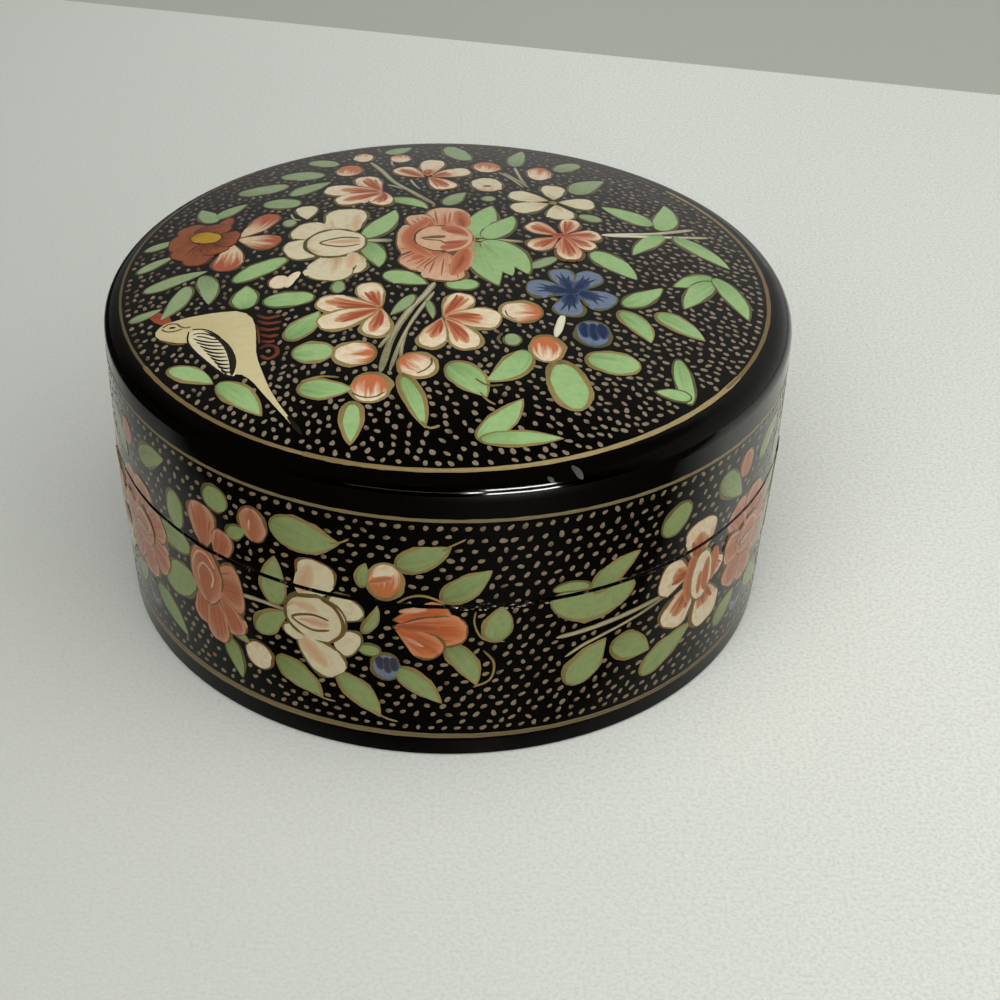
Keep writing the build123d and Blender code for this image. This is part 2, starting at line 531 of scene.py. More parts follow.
GREEN = brush_paint("leaf_paint", (154, 186, 126), (112, 146, 88), 5.0, 0.7)
WALL_GREEN = brush_paint("wall_leaf_paint", (138, 158, 104), (100, 122, 74), 5.0, 0.7)
BACK_GREEN = brush_paint("back_leaf_paint", (144, 164, 120), (106, 128, 86), 5.0, 0.7)
RIM = brush_paint("leaf_outline_paint", (98, 92, 56), (70, 68, 38), 4.0, 0.6)
KHAKI = brush_paint("khaki_outline_paint", (146, 128, 80), (104, 88, 50), 3.0, 0.6)
PAINTS = {"green": GREEN, "back_green": BACK_GREEN, "rim": RIM, "gold": KHAKI}


def stroke(paint, x0, y0, x1, y1, half, bend=0.0, reach=0.5, shape=FULL):
    """One press of the brush from foot to tip."""
    return paint, shape, (x0, y0, x1, y1, half, bend), reach


def line(paint, half, *points):
    """One liner stroke through points."""
    return paint, None, points, half


def outlined(rim_paint, grow, press):
    """A stroke on a wider one of the outline's paint, a little off its place, which shows all round it."""
    paint, shape, (x0, y0, x1, y1, half, bend), reach = press
    length = np.hypot(x1 - x0, y1 - y0)
    dx, dy = (x1 - x0) / length * grow, (y1 - y0) / length * grow
    off_x, off_y = random.uniform(-0.4, 0.4, 2) * grow
    under = (x0 - dx + off_x, y0 - dy + off_y, x1 + dx + off_x, y1 + dy + off_y, half + grow, bend)
    return [(rim_paint, shape, under, 0.5), press]


BACK = 0.2      # width of the outline of a leaf far from the front, which is of a duller green,
MID = 0.26      # of one half way,
NEAR = 0.32     # of one near the front, where it is gold,
BROAD = 0.62    # and of one whose gold underpainting shows widely


def leaf(grow, x0, y0, x1, y1, half, bend, shape=LEAF):
    """A leaf from stalk to tip, green over its outline's paint; grow is the outline's width."""
    rim = "gold" if grow >= NEAR else "rim"
    green = "back_green" if grow == BACK else "green"
    return outlined(rim, grow, stroke(green, x0, y0, x1, y1, half, bend, random.uniform(0.1, 0.7), shape))


def leaves(grow, *rows):
    """Single leaves with outlines of one width, each a motif of its own."""
    return [leaf(grow, *row) for row in rows]


def moved(motif, shift):
    """The motif again further round the wall, put down by hand a little differently."""
    hand = random.uniform(-0.25, 0.25, 2) if shift else (0.0, 0.0)
    again = []
    for paint, shape, place, last in motif:
        if shape is None:
            place = [(x + shift + hand[0], y + hand[1]) for x, y in place]
        else:
            x0, y0, x1, y1, half, bend = place
            place = (x0 + shift + hand[0], y0 + hand[1], x1 + shift + hand[0], y1 + hand[1], half, bend)
        again.append((paint, shape, place, last))
    return again


def levels(motif):
    """The coat that each stroke of a motif lies in: one over the highest earlier stroke that it may touch."""
    boxes, coats = [], []
    for paint, shape, place, last in motif:
        ends = np.array(place if shape is None else (place[:2], place[2:4]), float)
        width = last * 1.2 if shape is None else place[4] * 1.1 + abs(place[5])
        low, high = ends.min(0) - width, ends.max(0) + width
        below = [lower for lower, box in zip(coats, boxes)
                 if (low < box[1]).all() and (box[0] < high).all()]
        coats.append(1 + max(below, default=-1))
        boxes.append((low, high))
    return coats


def coats_by_paint(motifs, under=0):
    """Turns motifs, lists of strokes in painting order, into films by paint; under is how many coats of
    other motifs lie beneath the first."""
    presses, films = {}, {}
    for number, motif in enumerate(motifs):
        for level, (paint, shape, place, last) in zip(levels(motif), motif):
            lift = FIRST_COAT + COAT * (under + level + number % 3 / 3)
            if shape is None:
                film = coat(drawn_line(place, last, 6 * len(place)), lift, random.uniform(0, 99, 1), 0.5)
                films.setdefault(paint, []).append(film)
            else:
                presses.setdefault(paint, []).append((place, shape, last, lift))
    for paint, entries in presses.items():
        places, shapes, reaches, lifts = zip(*entries)
        seeds = random.uniform(0, 99, len(entries))
        film = coat(blades(places, shapes), lifts, seeds, np.array(reaches, float))
        films.setdefault(paint, []).append(film)
    return films


def paint_motifs_on_top(group, motifs, under=0):
    """The motifs on the lid's top, one piece for each paint."""
    for paint, films in coats_by_paint(motifs, under).items():
        paint_top(f"top_{group}_{paint}", films, PAINTS[paint])


REPEAT = 94.0   # the side's bouquet comes three times round the box


def paint_motifs_round_wall(group, motifs):
    """The motifs three times round the walls; their leaves have the duller green."""
    again = [moved(motif, shift) for shift in (0.0, REPEAT, -REPEAT) for motif in motifs]
    for paint, films in coats_by_paint(again).items():
        paint_wall(f"{group}_{paint}", films, WALL_GREEN if paint == "green" else PAINTS[paint])


top_leaves = [
    # back
    *leaves(BACK, (-20.6, 34.6, -16.4, 32.4, 1.5, 0.2, FULL), (-24.2, 28.5, -18.1, 28, 1.8, 0.3, FULL),
            (-29.8, 23.3, -23, 25, 1.8, -0.3, FULL), (-22.2, 20.8, -16.9, 25.2, 1.4, 0.3),
            (-32, 14, -34.4, 18.8, 1.4, 0.2), (-32, 15, -28.2, 19, 1.2, 0.2),
            (-25.8, 18.2, -20.8, 17.4, 1.8, 0.4, FULL), (-9.4, 37.2, -6, 40.3, 1.4, 0),
            (-0.2, 41, 2.6, 34.3, 1.8, -0.6, FULL), (9, 32, 10.4, 40, 1.3, 0.2),
            (15, 31, 18.4, 35.3, 1.5, 0.2, FULL), (17.2, 22.2, 21.7, 28.7, 1.9, 0.6)),
    *leaves(MID, (27.4, 13.8, 20.8, 18.3, 1.9, -0.3), (28.2, 12.8, 29.8, 21.8, 1.8, -0.8)),
    leaf(BACK, 17.5, 14.6, 20.5, 13.6, 1.1, 0, FULL),
    # round the roses
    leaf(MID, -8.6, 17.8, -3.2, 14.6, 1.2, 0.9),
    *leaves(BACK, (-0.6, 15.8, 2, 20.4, 1.3, 0.3), (4.2, 18.2, 6, 18.8, 0.9, 0, FULL)),
    *leaves(MID, (-11.6, 5.8, -7.6, 14.2, 1.8, -0.7), (-11.4, 4.2, -9.2, -2.4, 1.6, 0.5)),
    leaf(MID, 3.7, 5.6, 5.6, 15.9, 2.3, 0.3) + leaf(MID, 4.2, 5.8, 8.3, 12.8, 1.9, -0.6),
    leaf(MID, 3.7, 4.5, 6.2, -6.7, 2.5, -0.5) + leaf(MID, 4, 4.6, 10, -3.6, 2.3, 1.2)
    + [stroke("green", 4.4, 3.6, 8, -4.2, 2, 0.2, 0.4, LEAF)],
    *leaves(MID, (-8.6, -4.4, -3, -6.8, 1.7, 0.3), (-0.5, -7, 3.6, -6.9, 1.4, 0.2, FULL)),
    leaf(BACK, 10.4, -1.9, 13.8, 1.2, 0.9, 0, FULL),
    # right
    *leaves(MID, (28.9, 11, 24.2, 4.1, 1.3, -0.4), (30.2, 11, 37.2, 4, 1.6, 0.3),
            (18.6, 3.6, 24.2, -2.6, 2, 0.3), (22, -9.4, 27.4, -4.1, 1.5, -0.3)),
    leaf(MID, 34.4, 0.8, 29, -3.2, 1.4, 0) + leaf(MID, 34.4, -0.6, 30, -8.4, 1.6, -0.3)
    + leaf(MID, 34.6, 0.6, 38.2, -8.8, 1.6, 0.6),
    *leaves(NEAR, (21.4, -11.2, 25, -17, 1.5, 0.8), (26.3, -10.6, 31.9, -15, 1.6, 0.3),
            (17, -21.4, 23.3, -22, 2.2, -0.4, FULL)),
    leaf(MID, 28.2, -20, 29, -28.4, 1.2, 0, FULL) + leaf(MID, 29.2, -27.2, 25, -26.8, 1.1, 0),
    # front
    leaf(BROAD, 13.4, -23.2, 15.2, -31.4, 2.3, 0.2, FULL),
    leaf(NEAR, 9.2, -20.9, 4.5, -26.9, 1.8, 1)
    + [line("rim", 0.18, (3, -26.6), (4.6, -27.9), (6.6, -27.7))],
    leaf(NEAR, 0, -24.2, 4.4, -30, 2.1, 0.4)
    + [line("gold", 0.16, (3.6, -29), (4.6, -30.6), (5.6, -31.4))],
    leaf(NEAR, 3.6, -37.4, 8.7, -30.4, 1.6, -0.3) + leaf(NEAR, 3.8, -37.4, 13.2, -36.6, 1.2, 0.1),
    leaf(BROAD, -5.5, -26.6, -2.8, -35.3, 1, 0.2)
    + [line("gold", 0.2, (-3.3, -34.4), (-2.2, -35.6), (-0.9, -35.2))],
    leaf(BROAD, -11.3, -31.4, -11.3, -37.8, 1.1, 0),
    leaf(NEAR, -17.8, -28, -11.6, -28.6, 1.8, -0.2)
    + [line("gold", 0.16, (-13, -26.4), (-15.5, -26.1), (-17.8, -26.9))],
    *leaves(NEAR, (-19, -21.3, -14.2, -21.3, 2, 0, FULL), (-20, -18.2, -16.4, -12.8, 1.6, -0.3),
            (-34, -22.4, -28.4, -25.9, 1.3, 0.3), (-27.7, -26.2, -22.2, -32.4, 1.6, 0.4)),
    *leaves(MID, (-23.5, -9.8, -17.2, -9.3, 1.8, 0.1, FULL), (-25.9, -10.9, -26, -5.6, 1.8, 0),
            (-27.8, -4.2, -21.4, 0.9, 1.7, 0.2, FULL)),
    # left
    *leaves(BACK, (-39.4, -4.2, -31.6, -0.6, 1.3, 0.3), (-32.2, -1.8, -30.6, -9, 1.4, 0.5),
            (-33.8, -4, -36.4, -11.4, 1.3, 0.5), (-40.4, -11, -36.6, -8.9, 0.8, 0),
            (-41, 1.3, -36.4, 4.8, 0.9, 0.2), (-40.8, 7.5, -37.4, 9.2, 0.9, 0, FULL),
            (-14.2, -5.7, -14.2, -8.5, 0.9, 0, FULL), (-22.6, 11.4, -20.9, 11.4, 1.2, 0, FULL),
            (-4.6, -9.4, -7.4, -13.9, 0.9, 0.2), (-3, -10.6, -2.1, -14.8, 0.5, 0.2)),
    leaf(BACK, 7.7, -17.6, 7.8, -19.9, 1.1, 0, FULL)
    + [line("rim", 0.2, (6.6, -17.4), (6, -18.6), (6.4, -19.8))],
]
paint_motifs_on_top("leaves", top_leaves)

wall_leaves = [
    *leaves(MID, (-31.8, 32.6, -28, 33.8, 1.9, 0, FULL), (-28.2, 28.8, -25.2, 30.6, 1, 0),
            (-37.4, 25, -37.8, 30.4, 1.8, 0.2, FULL), (-41.8, 22.8, -35.4, 22.6, 2.2, 0.4, FULL),
            (-42, 14.8, -35.3, 18.6, 2.8, -0.4, FULL)),
    *leaves(NEAR, (-21.6, 20.8, -21.2, 28, 1.8, 0.2), (-24.4, 15.2, -20, 19.8, 1.5, 0.3)),
    *leaves(MID, (-29.2, 14.2, -26, 12.4, 0.9, 0), (-29.8, 11.8, -27.9, 5.8, 1.4, 0.2),
            (-45, 11.2, -38.2, 7, 1.9, 0.3)),
    leaf(NEAR, -21.6, 33.2, -13, 32.6, 2.5, -0.5)
    + [line("gold", 0.15, (-14, 32.4), (-12.6, 32.8), (-11.4, 33.6))],
    leaf(NEAR, -5.8, 30.8, 0.3, 33.6, 1.7, -0.3)
    + [line("gold", 0.15, (-0.6, 33), (0.9, 34), (2.3, 34.8))],
    *leaves(NEAR, (-0.3, 26, 5.3, 30, 1.7, -0.2), (-6, 14.4, -0.6, 9.2, 1.4, 0.2)),
    leaf(NEAR, -13.4, 12, -8.2, 6.3, 1.7, 0.5)
    + [line("gold", 0.15, (-9.2, 7.2), (-7.6, 6), (-5.8, 5.5))],
    leaf(NEAR, -22, 11.8, -16, 7.6, 1.9, 0.5)
    + [line("gold", 0.15, (-17, 8.1), (-15.6, 7.4), (-13.9, 7.3))],
    leaf(NEAR, 0.2, 18.4, 3.8, 12.3, 1.5, 0.7)
    + [line("gold", 0.17, (4.6, 17.8), (6, 15.6), (5.6, 12.9), (3.4, 11.7))],
    leaf(NEAR, 5.9, 19.2, 6.8, 24.4, 1.8, -0.1)
    + [line("gold", 0.15, (3.6, 24.1), (3.5, 22), (4.6, 19.6), (7.4, 18.9))],
    leaf(NEAR, 13.1, 24.8, 23.7, 24.4, 2.7, -1.9, FULL) + leaf(NEAR, 18.2, 24.6, 24.2, 28.6, 1.6, 0.3),
    leaf(MID, 13, 25.9, 17.6, 25.5, 0.7, 0.4, FULL),
    *leaves(NEAR, (16.3, 9.9, 20.6, 15.9, 2.3, 0.3), (21.8, 14.8, 27.6, 11.5, 2.1, 0.2)),
    *leaves(MID, (28, 29.4, 32, 32.6, 2, 0, FULL), (37.9, 33, 43.3, 28.2, 1.9, 0.3)),
    leaf(NEAR, 26.9, 7.5, 34.9, 12, 2, 0.4),
    *leaves(MID, (41, 8, 45.6, 11.6, 1.8, 0), (-46, 31, -39.4, 34.2, 1.7, 0.3),
            (-10.6, 16.9, -8, 17, 0.9, 0, FULL)),
    *leaves(NEAR, (-10, 19.8, -8.2, 24, 0.6, -0.4), (-9.8, 27, -9.4, 30.2, 0.7, 0.3)),
]
paint_motifs_round_wall("leaves", wall_leaves)


# ------------------------------------------------------------
# Stems: liner strokes in grey cream body colour that carry the bouquets, most of them double and
# laid over the leaves.

PAINTS["stem"] = brush_paint("stem_paint", (124, 118, 86), (184, 178, 146), 2.0, 0.5, core=True)
PAINTS["pale_stem"] = brush_paint("pale_stem_paint", (164, 158, 128), (222, 218, 190), 2.0, 0.4, core=True)

paint_motifs_on_top("stems", [
    [line("stem", 0.42, (-11.8, 33.5), (-10, 29.5), (-8, 24.5), (-5, 20), (-2, 15.8))],
    [line("stem", 0.25, (-5.8, 25.5), (-5.2, 23.5), (-4.3, 21.5))],
    [line("stem", 0.25, (-9, 23.4), (-7.9, 22.8), (-6.6, 21.6))],
    [line("stem", 0.26, (6.6, 29.4), (8.6, 26.4), (10.2, 23.2))],
    [line("stem", 0.26, (7.3, 29.2), (9.2, 26.4), (10.9, 23.4))],
    [line("stem", 0.3, (9, 32), (9.6, 28), (10.5, 24))],
    [line("stem", 0.5, (-1.9, -6.2), (-3.2, -9.4), (-4.8, -12.4), (-6.3, -16.2), (-7.3, -20),
          (-8.3, -26))],
    [line("stem", 0.3, (-1.9, -8.4), (-3.4, -12), (-4.9, -16), (-6.1, -20.4), (-7.2, -25.8))],
    [line("stem", 0.3, (-7.2, -18), (-7.9, -19.4), (-8.6, -20.9))],
    [line("stem", 0.26, (-5.2, -16.8), (-5.7, -20), (-5.9, -23))],
    [line("pale_stem", 0.42, (20, 9), (24, 10.2), (28, 11.6), (33.6, 14.8))],
    [line("pale_stem", 0.42, (20.2, 8.9), (26, 10), (30, 11), (35.5, 12.8))],
    [stroke("pale_stem", 14.3, -12.6, 13.1, -17.8, 0.6, 0, 0.9)],
    [line("stem", 0.55, (-11.8, 4.8), (-9.8, 4.9), (-7.6, 4.8))],
    [line("stem", 0.42, (3.4, 5), (6.5, 5.3), (9.8, 5.2))],
])
paint_motifs_round_wall("stems", [
    [line("stem", 0.42, (13.6, 18.3), (18, 18.6), (26, 19.4), (30.4, 19.8))],
    [line("stem", 0.28, (15, 14.8), (17.6, 16.2), (21, 17.2), (26, 18.4), (30, 19.6))],
    [line("stem", 0.36, (-27, 20), (-23.6, 20.4), (-19.8, 20.4))],
])


# ------------------------------------------------------------
# Coral flowers: the big rose in the middle, the six-petalled flower, the tulips and the buds.
# Cream petals are pressed down first, then streaked with coral from their feet.

PAINTS["coral"] = brush_paint("coral_petal_paint", (226, 213, 180), (190, 112, 74), 8.0, 0.6)
PAINTS["streak"] = brush_paint("coral_streak_paint", (208, 166, 126), (176, 98, 64), 5.0, 0.8, core=True)
PAINTS["bud"] = brush_paint("bud_paint", (226, 211, 180), (190, 108, 68), 6.0, 0.3)
PAINTS["berry"] = brush_paint("berry_paint", (212, 188, 152), (166, 86, 58), 6.0, 0.3)
PAINTS["blush"] = brush_paint("blush_paint", (212, 198, 162), (200, 154, 118), 7.0, 1.2, core=True)
PAINTS["rose"] = brush_paint("rose_petal_paint", (210, 174, 140), (180, 104, 72), 6.0, 0.7)
PAINTS["shade"] = brush_paint("rose_shade_paint", (198, 142, 106), (172, 92, 60), 5.0, 0.9, core=True)
PAINTS["deep"] = brush_paint("deep_coral_paint", (180, 104, 72), (150, 68, 44), 5.0, 0.9, core=True)
PAINTS["dusky"] = brush_paint("dusky_rose_paint", (206, 158, 130), (170, 100, 74), 5.0, 0.8, core=True)
PAINTS["flame"] = brush_paint("tulip_paint", (212, 142, 100), (186, 86, 46), 6.0, 0.8, core=True)
PAINTS["line"] = brush_paint("petal_outline_paint", (112, 84, 52), (80, 60, 36), 3.0, 0.5)


def petal(x0, y0, x1, y1, half, bend=0.0, reach=0.5, paint="coral", rim="line", grow=0.16, shape=PETAL):
    """One petal from its foot to its rim, on its outline's paint."""
    return outlined(rim, grow, stroke(paint, x0, y0, x1, y1, half, bend, reach, shape))


def flower(make, *petals, **style):
    """Petals of one kind and style, in painting order."""
    return [press for row in petals for press in make(*row, **style)]


def beside(x0, y0, x1, y1, share, aside):
    """Place at a share of the way from foot to tip and then aside to its left:
    foot + share d + aside (-dy, dx) / |d|."""
    dx, dy = x1 - x0, y1 - y0
    length = np.hypot(dx, dy)
    return x0 + dx * share - dy / length * aside, y0 + dy * share + dx / length * aside


def haired(x0, y0, x1, y1, half, bend=0.0, reach=1.0, paint="dusky", grow=0.1):
    """A rose petal with a few darker hairs of the brush along it."""
    chord = (x0, y0, x1, y1)
    strokes = petal(*chord, half, bend, reach, paint, "line", grow)
    for off in (-0.55, -0.15, 0.2, 0.55):
        near, far = random.uniform(0.2, 0.45), random.uniform(0.7, 0.92)
        aside = (off + random.uniform(-0.1, 0.1)) * half
        foot, tip = beside(*chord, near, aside * 0.7), beside(*chord, far, aside)
        strokes.append(stroke("deep", *foot, *tip, 0.15, 0.0, 0.7))
    return strokes


FAN = [("streak", 0.0, 0.5, 1.2), ("streak", -0.42, 0.22, 1.0), ("deep", 0.42, 0.16, 1.0),
       ("deep", -0.05, 0.15, 0.95)]     # paint of each stroke, its place across the petal, width and length


def streaked(x0, y0, x1, y1, half, depth, bend=0.0, ground=0.6, rim="line", grow=0.2):
    """A cream petal, coral at its foot, with a fan of coral strokes from there up its middle."""
    chord = (x0, y0, x1, y1)
    strokes = petal(*chord, half, bend, ground, "coral", rim, grow)
    for paint, off, wide, share in FAN:
        far = min(depth * share * random.uniform(0.9, 1.15), 0.9)
        tip = beside(*chord, far, (off + random.uniform(-0.08, 0.08)) * half)
        strokes.append(stroke(paint, *beside(*chord, 0.06, 0.0), *tip, half * wide, bend * 0.6, 0.9, FLAME))
    return strokes


def bud(x0, y0, x1, y1, half, reach, rim="gold", grow=0.4, paint="bud"):
    """A round bud, deep coloured on the side that is named first, with comb strokes into its pale side."""
    return petal(x0, y0, x1, y1, half, 0.0, reach, paint, rim, grow, FULL)


top_coral = [
    # the rose in the middle
    petal(2, 9.6, 2.2, -2.6, 1.15, 0.2, 0.9, "rose", shape=FULL)
    + haired(-0.6, 7.6, -0.4, 14.9, 3, 0, 0.75, "rose", 0.16)
    + [stroke("shade", 1.5, 8.2, 0.9, 14, 1.3, -0.3, 1),
       stroke("deep", 1.7, 9, 1.2, 12, 0.6, 0, 0.8)]
    + haired(-2.4, 7.6, -4.7, 12.4, 2.1, 0.3, 0.8, "rose", 0.16)
    + [stroke("shade", -2.4, 7.8, -3.4, 11.6, 1.1, 0.1, 1)]
    + flower(haired, (-1.6, 5, -7.1, 5, 4.6, 0, 0.95), (-1.2, 2.8, -5.9, -2.6, 2.8, 0.3, 0.85),
             (-0.6, 1.2, -0.9, -6.2, 3, 0.1, 0.7), paint="rose", grow=0.16)
    + [stroke("shade", 1.9, 2.6, 0.2, -5, 1.4, 0.3, 1),
       stroke("deep", 1.7, 0.6, 0.6, -3.6, 0.6, 0.2, 0.8),
       stroke("shade", -1.2, 0.9, -5, -1, 1.1, -0.5, 1),
       stroke("shade", -2.8, 10.6, -2, -0.4, 1.4, -2.9, 1),
       stroke("line", -5, 5.1, 3.1, 5, 4.4),
       stroke("rose", -4.7, 5.1, 2.95, 5, 4.15, 0, -0.1),
       stroke("shade", -1.4, 7.9, 2.6, 5.6, 1.4, 0.7, 1),
       stroke("shade", -1.4, 2.4, 2.7, 4.6, 1.4, -0.7, 1),
       stroke("deep", -0.6, 7.2, 2, 6.4, 0.6, 0.2, 0.8),
       stroke("deep", -1, 3.7, 1.7, 4.3, 0.6, -0.2, 0.8),
       stroke("rose", -0.4, 5.6, 3, 5.2, 0.4, 0.1, -0.5, LEAF),
       line("rose", 0.3, (-0.9, 9.05), (0.6, 8.8), (1.9, 7.7), (2.6, 5.6), (2.3, 3.6), (1.1, 2.1),
            (-0.8, 1.35)),
       stroke("line", -4, 5.1, -0.6, 5.5, 0.42, 0, 0.5, PETAL),
       line("line", 0.13, (-3.9, 4.9), (-2.6, 4.5), (-1.4, 4.3), (-0.7, 3.5))],
    # coral flower with six petals
    flower(streaked,
           (14.3, 7.8, 10.4, 10.6, 1.9, 0.8, 0, 0.85), (14.3, 7, 10.6, 3.4, 1.8, 0.8, 0, 0.85),
           (15.2, 8, 16.4, 12.8, 1.5, 0.75, 0, 0.8), (15.4, 7.8, 20, 8.6, 1.7, 0.8, -0.2, 0.85),
           (15.4, 7.2, 19, 4.4, 1.5, 0.75, 0, 0.8), (15, 7.2, 15.8, 0.7, 1.9, 0.8, 0, 0.85),
           grow=0.18)
    + [stroke("deep", 13.4, 7.4, 16.6, 7.6, 0.5, 0, 0.9)],
    # tulip, upper left
    flower(streaked, (-9.6, 21, -12.2, 26.8, 2, 0.7, 0.4), (-9.4, 20.8, -17.6, 22.2, 2.2, 0.6, 0.2),
           (-9.4, 20.4, -15.8, 17.4, 2, 0.65, 0.2), (-9.2, 20.2, -10.2, 16, 1.8, 0.8, 0.3)),
    # tulip, top
    streaked(-3.8, 26.2, -7.7, 30.2, 1.9, 0.85, 0, 0.7, "line", 0.18)
    + flower(streaked, (-3.4, 26.6, -2.2, 33.8, 1.9, 0.35, 0.2), (-2.8, 26.4, 2.6, 29, 1.9, 0.45, 0.2),
             (-3.2, 26, -0.4, 21.5, 2, 0.8, 0.2)),
    # tulip, lower left
    flower(streaked, (-8.6, -12.2, -10.6, -6.5, 1.8, 0.6, 0.2), (-8.6, -12.2, -16.6, -10.4, 2.1, 0.75, 0.3),
           (-8.6, -12.6, -16.2, -15.8, 2.1, 0.6, 0), (-8.6, -12.6, -9.6, -18.4, 1.9, 0.7, 0.3),
           rim="gold", grow=0.26),
    # tulip, lower right
    flower(streaked, (-0.8, -14.2, 1.9, -9.1, 1.9, 0.85, -0.2), (-0.8, -14.4, 6.3, -15, 2.4, 0.6, 0.3),
           (-0.6, -14.8, 2.6, -21, 2, 0.65, 0.3), (-1, -14.8, -2.8, -20.8, 1.8, 0.55, 0.2),
           rim="gold", grow=0.26),
    # buds
    bud(-9, -22, -13.9, -21.8, 2.4, 0.55),
    bud(-9.3, -26, -9.5, -31, 2.4, 0.7)
    + [line("rim", 0.16, (-11.6, -29.2), (-10.4, -30.1), (-8.8, -30.2), (-7.4, -29.2))],
    bud(-5.6, -22.6, -2.2, -26, 2.3, 0.62)
    + [line("rim", 0.16, (-2.2, -22.8), (-2.1, -24), (-2.8, -25.2), (-4, -26))],
    bud(11.5, -12.8, 6.5, -12.6, 2.3, 0.55)
    + [line("rim", 0.14, (6.9, -12.4), (7.3, -13.8), (8.4, -14.5))],
    bud(11.8, -17.8, 12, -22.8, 2.1, 0.75),
    bud(5.2, 33.4, 4.8, 29, 2.1, 0.7, "line", 0.2),
    bud(12.8, 32.2, 12.2, 26.8, 1.9, 0.6, "line", 0.2),
    bud(-14.2, 32, -15, 27.6, 2, 0.8, "line", 0.2),
    bud(-13, 37.6, -12.6, 33.6, 1.5, 0.4, "line", 0.2),
    bud(-7.4, 36.6, -7.4, 33, 1.6, 0.5, "line", 0.2)
    + [line("stem", 0.2, (-8.6, 34), (-8.6, 32.4), (-8.2, 31.2))],
    bud(-21.8, -3.5, -22, -6.7, 1.4, -0.4, "line", 0.14)
    + [stroke("coral", -20.8, -6.6, -19.4, -2.8, 0.7, 0.3, 0.2)],
    # three buds by the russet flower: cream feet, coral heads
    petal(-24.2, 14.8, -28.4, 8, 1.9, 0.5, 0.6, "berry", "line", 0.14, HEAD),
    petal(-22.8, 5.3, -28.4, 7.6, 2.2, -0.1, 0.6, "berry", "line", 0.14, HEAD),
    petal(-29.4, -1, -28.8, 6.2, 2.2, -0.1, 0.6, "berry", "line", 0.14, HEAD),
]
paint_motifs_on_top("coral_flowers", top_coral)

wall_coral = [
    # tall rose
    flower(haired, (-32.4, 24.4, -32.6, 31.4, 2.7), (-30.4, 23.8, -28.8, 28.8, 1.9, -0.2),
           (-31.6, 19.8, -26.4, 20.4, 4.2), (-30.2, 18.4, -27.6, 13, 2.2),
           (-33.4, 18.4, -33.7, 12, 2), (-31.4, 18.4, -31.2, 10.2, 2.2))
    + [stroke("line", -32.5, 25.3, -32.5, 15.7, 3.2),
       stroke("dusky", -32.5, 25.1, -32.5, 15.9, 3.05, 0, 1.1),
       line("rose", 0.22, (-34.6, 18), (-35, 20.6), (-33.8, 23.4), (-32, 23.8), (-30.6, 22)),
       line("rose", 0.2, (-33.8, 18.6), (-33.8, 20.8), (-32.6, 22.2), (-31.2, 20.8), (-31.8, 18.4)),
       line("deep", 0.2, (-32.9, 19), (-32.8, 20.4), (-32, 20.6))],
    bud(-24, 29.4, -24.4, 34.2, 2.1, 1, "line", 0.25, "dusky")
    + [line("rose", 0.2, (-24.8, 30.6), (-24.6, 32.6))],
    bud(-24.4, 13.2, -25, 9, 2.2, 0.3, "line", 0.25, "coral"),
    bud(-7.6, 25.6, -6.9, 30.6, 2.2, 0.75)
    + [stroke("coral", -8.6, 28.6, -6, 29.6, 0.7, 0.2, 0.1),
       stroke("streak", -9.2, 27.6, -6.2, 28.7, 0.6, 0.1, 1)],
    # tulip at the end of the spray
    flower(haired, (-6.2, 22.4, 0.4, 24.2, 2.1, -0.3), (-6.2, 21.2, 2.6, 20.8, 2.7),
           (-6, 20.8, -0.8, 17.2, 2.2, 0.3), reach=0.9, paint="flame", grow=0.22)
    + [stroke("rose", -5.6, 23.7, -2.2, 24.4, 0.4, 0, 0.6),
       stroke("deep", -6, 21.4, -0.6, 21.4, 0.7, 0, 0.9),
       stroke("rose", -5.4, 20, -2.6, 18.4, 0.3, 0, 0.8),
       line("gold", 0.15, (-6.2, 24.6), (-4.4, 26), (-2.4, 26.3), (0.2, 25.2))],
    # cream and coral flower on the long stem
    flower(streaked, (34.6, 22, 35, 28.8, 3.2, 0.55), (33.4, 21.2, 28.2, 22.4, 3, 0.5),
           (34, 19.4, 30.6, 13.6, 3.1, 0.6), (36.4, 18, 38.4, 10.7, 3.1, 0.5),
           (37.2, 21.4, 39.8, 18.6, 1.6, 0.9))
    + [stroke("shade", 33.9, 23.8, 33.8, 16.2, 1.1, -0.4, 1.1),
       stroke("shade", 38.2, 23, 38, 17.6, 0.9, 0.3, 1)]
    + petal(35.9, 15.8, 35.6, 23.6, 2.2, 0, 0.1, "coral", "gold", 0.3, FULL)
    + [stroke("streak", 36.9, 16.6, 36.7, 22.2, 0.9, 0.3, 1.2),
       stroke("streak", 35.4, 16.8, 35.4, 20.6, 0.6, 0, 1)],
    # the rose where one bouquet meets the next
    flower(haired, (46.4, 20.4, 42.2, 26.6, 3), (46.8, 20.6, 48.2, 27.4, 3),
           (47.2, 20.2, 53, 23.6, 3), (47.2, 19.6, 53.2, 16.2, 3), (46.8, 19.4, 48, 12.4, 3),
           (46.4, 19.4, 42.4, 13.8, 3), (46.2, 20, 40.6, 20.2, 2.8))
    + petal(43.6, 20, 50.2, 20, 3.2, 0, 1.1, "dusky", shape=FULL)
    + [line("rose", 0.22, (44.8, 19), (45.4, 21.4), (47.4, 22.2), (49.2, 20.8), (48.4, 18.6)),
       stroke("line", 44.4, 19.4, 49.4, 19.6, 0.8, 0, 0.5, LEAF),
       stroke("rose", 44.8, 19.4, 49.1, 19.6, 0.528, 0, 0.3, LEAF),
       line("line", 0.14, (45.2, 19.4), (46.9, 19.5), (48.8, 19.6))],
    bud(43.8, 30.6, 44.2, 34.4, 1.7, 1, "line", 0.2, "dusky"),
]
paint_motifs_round_wall("coral_flowers", wall_coral)


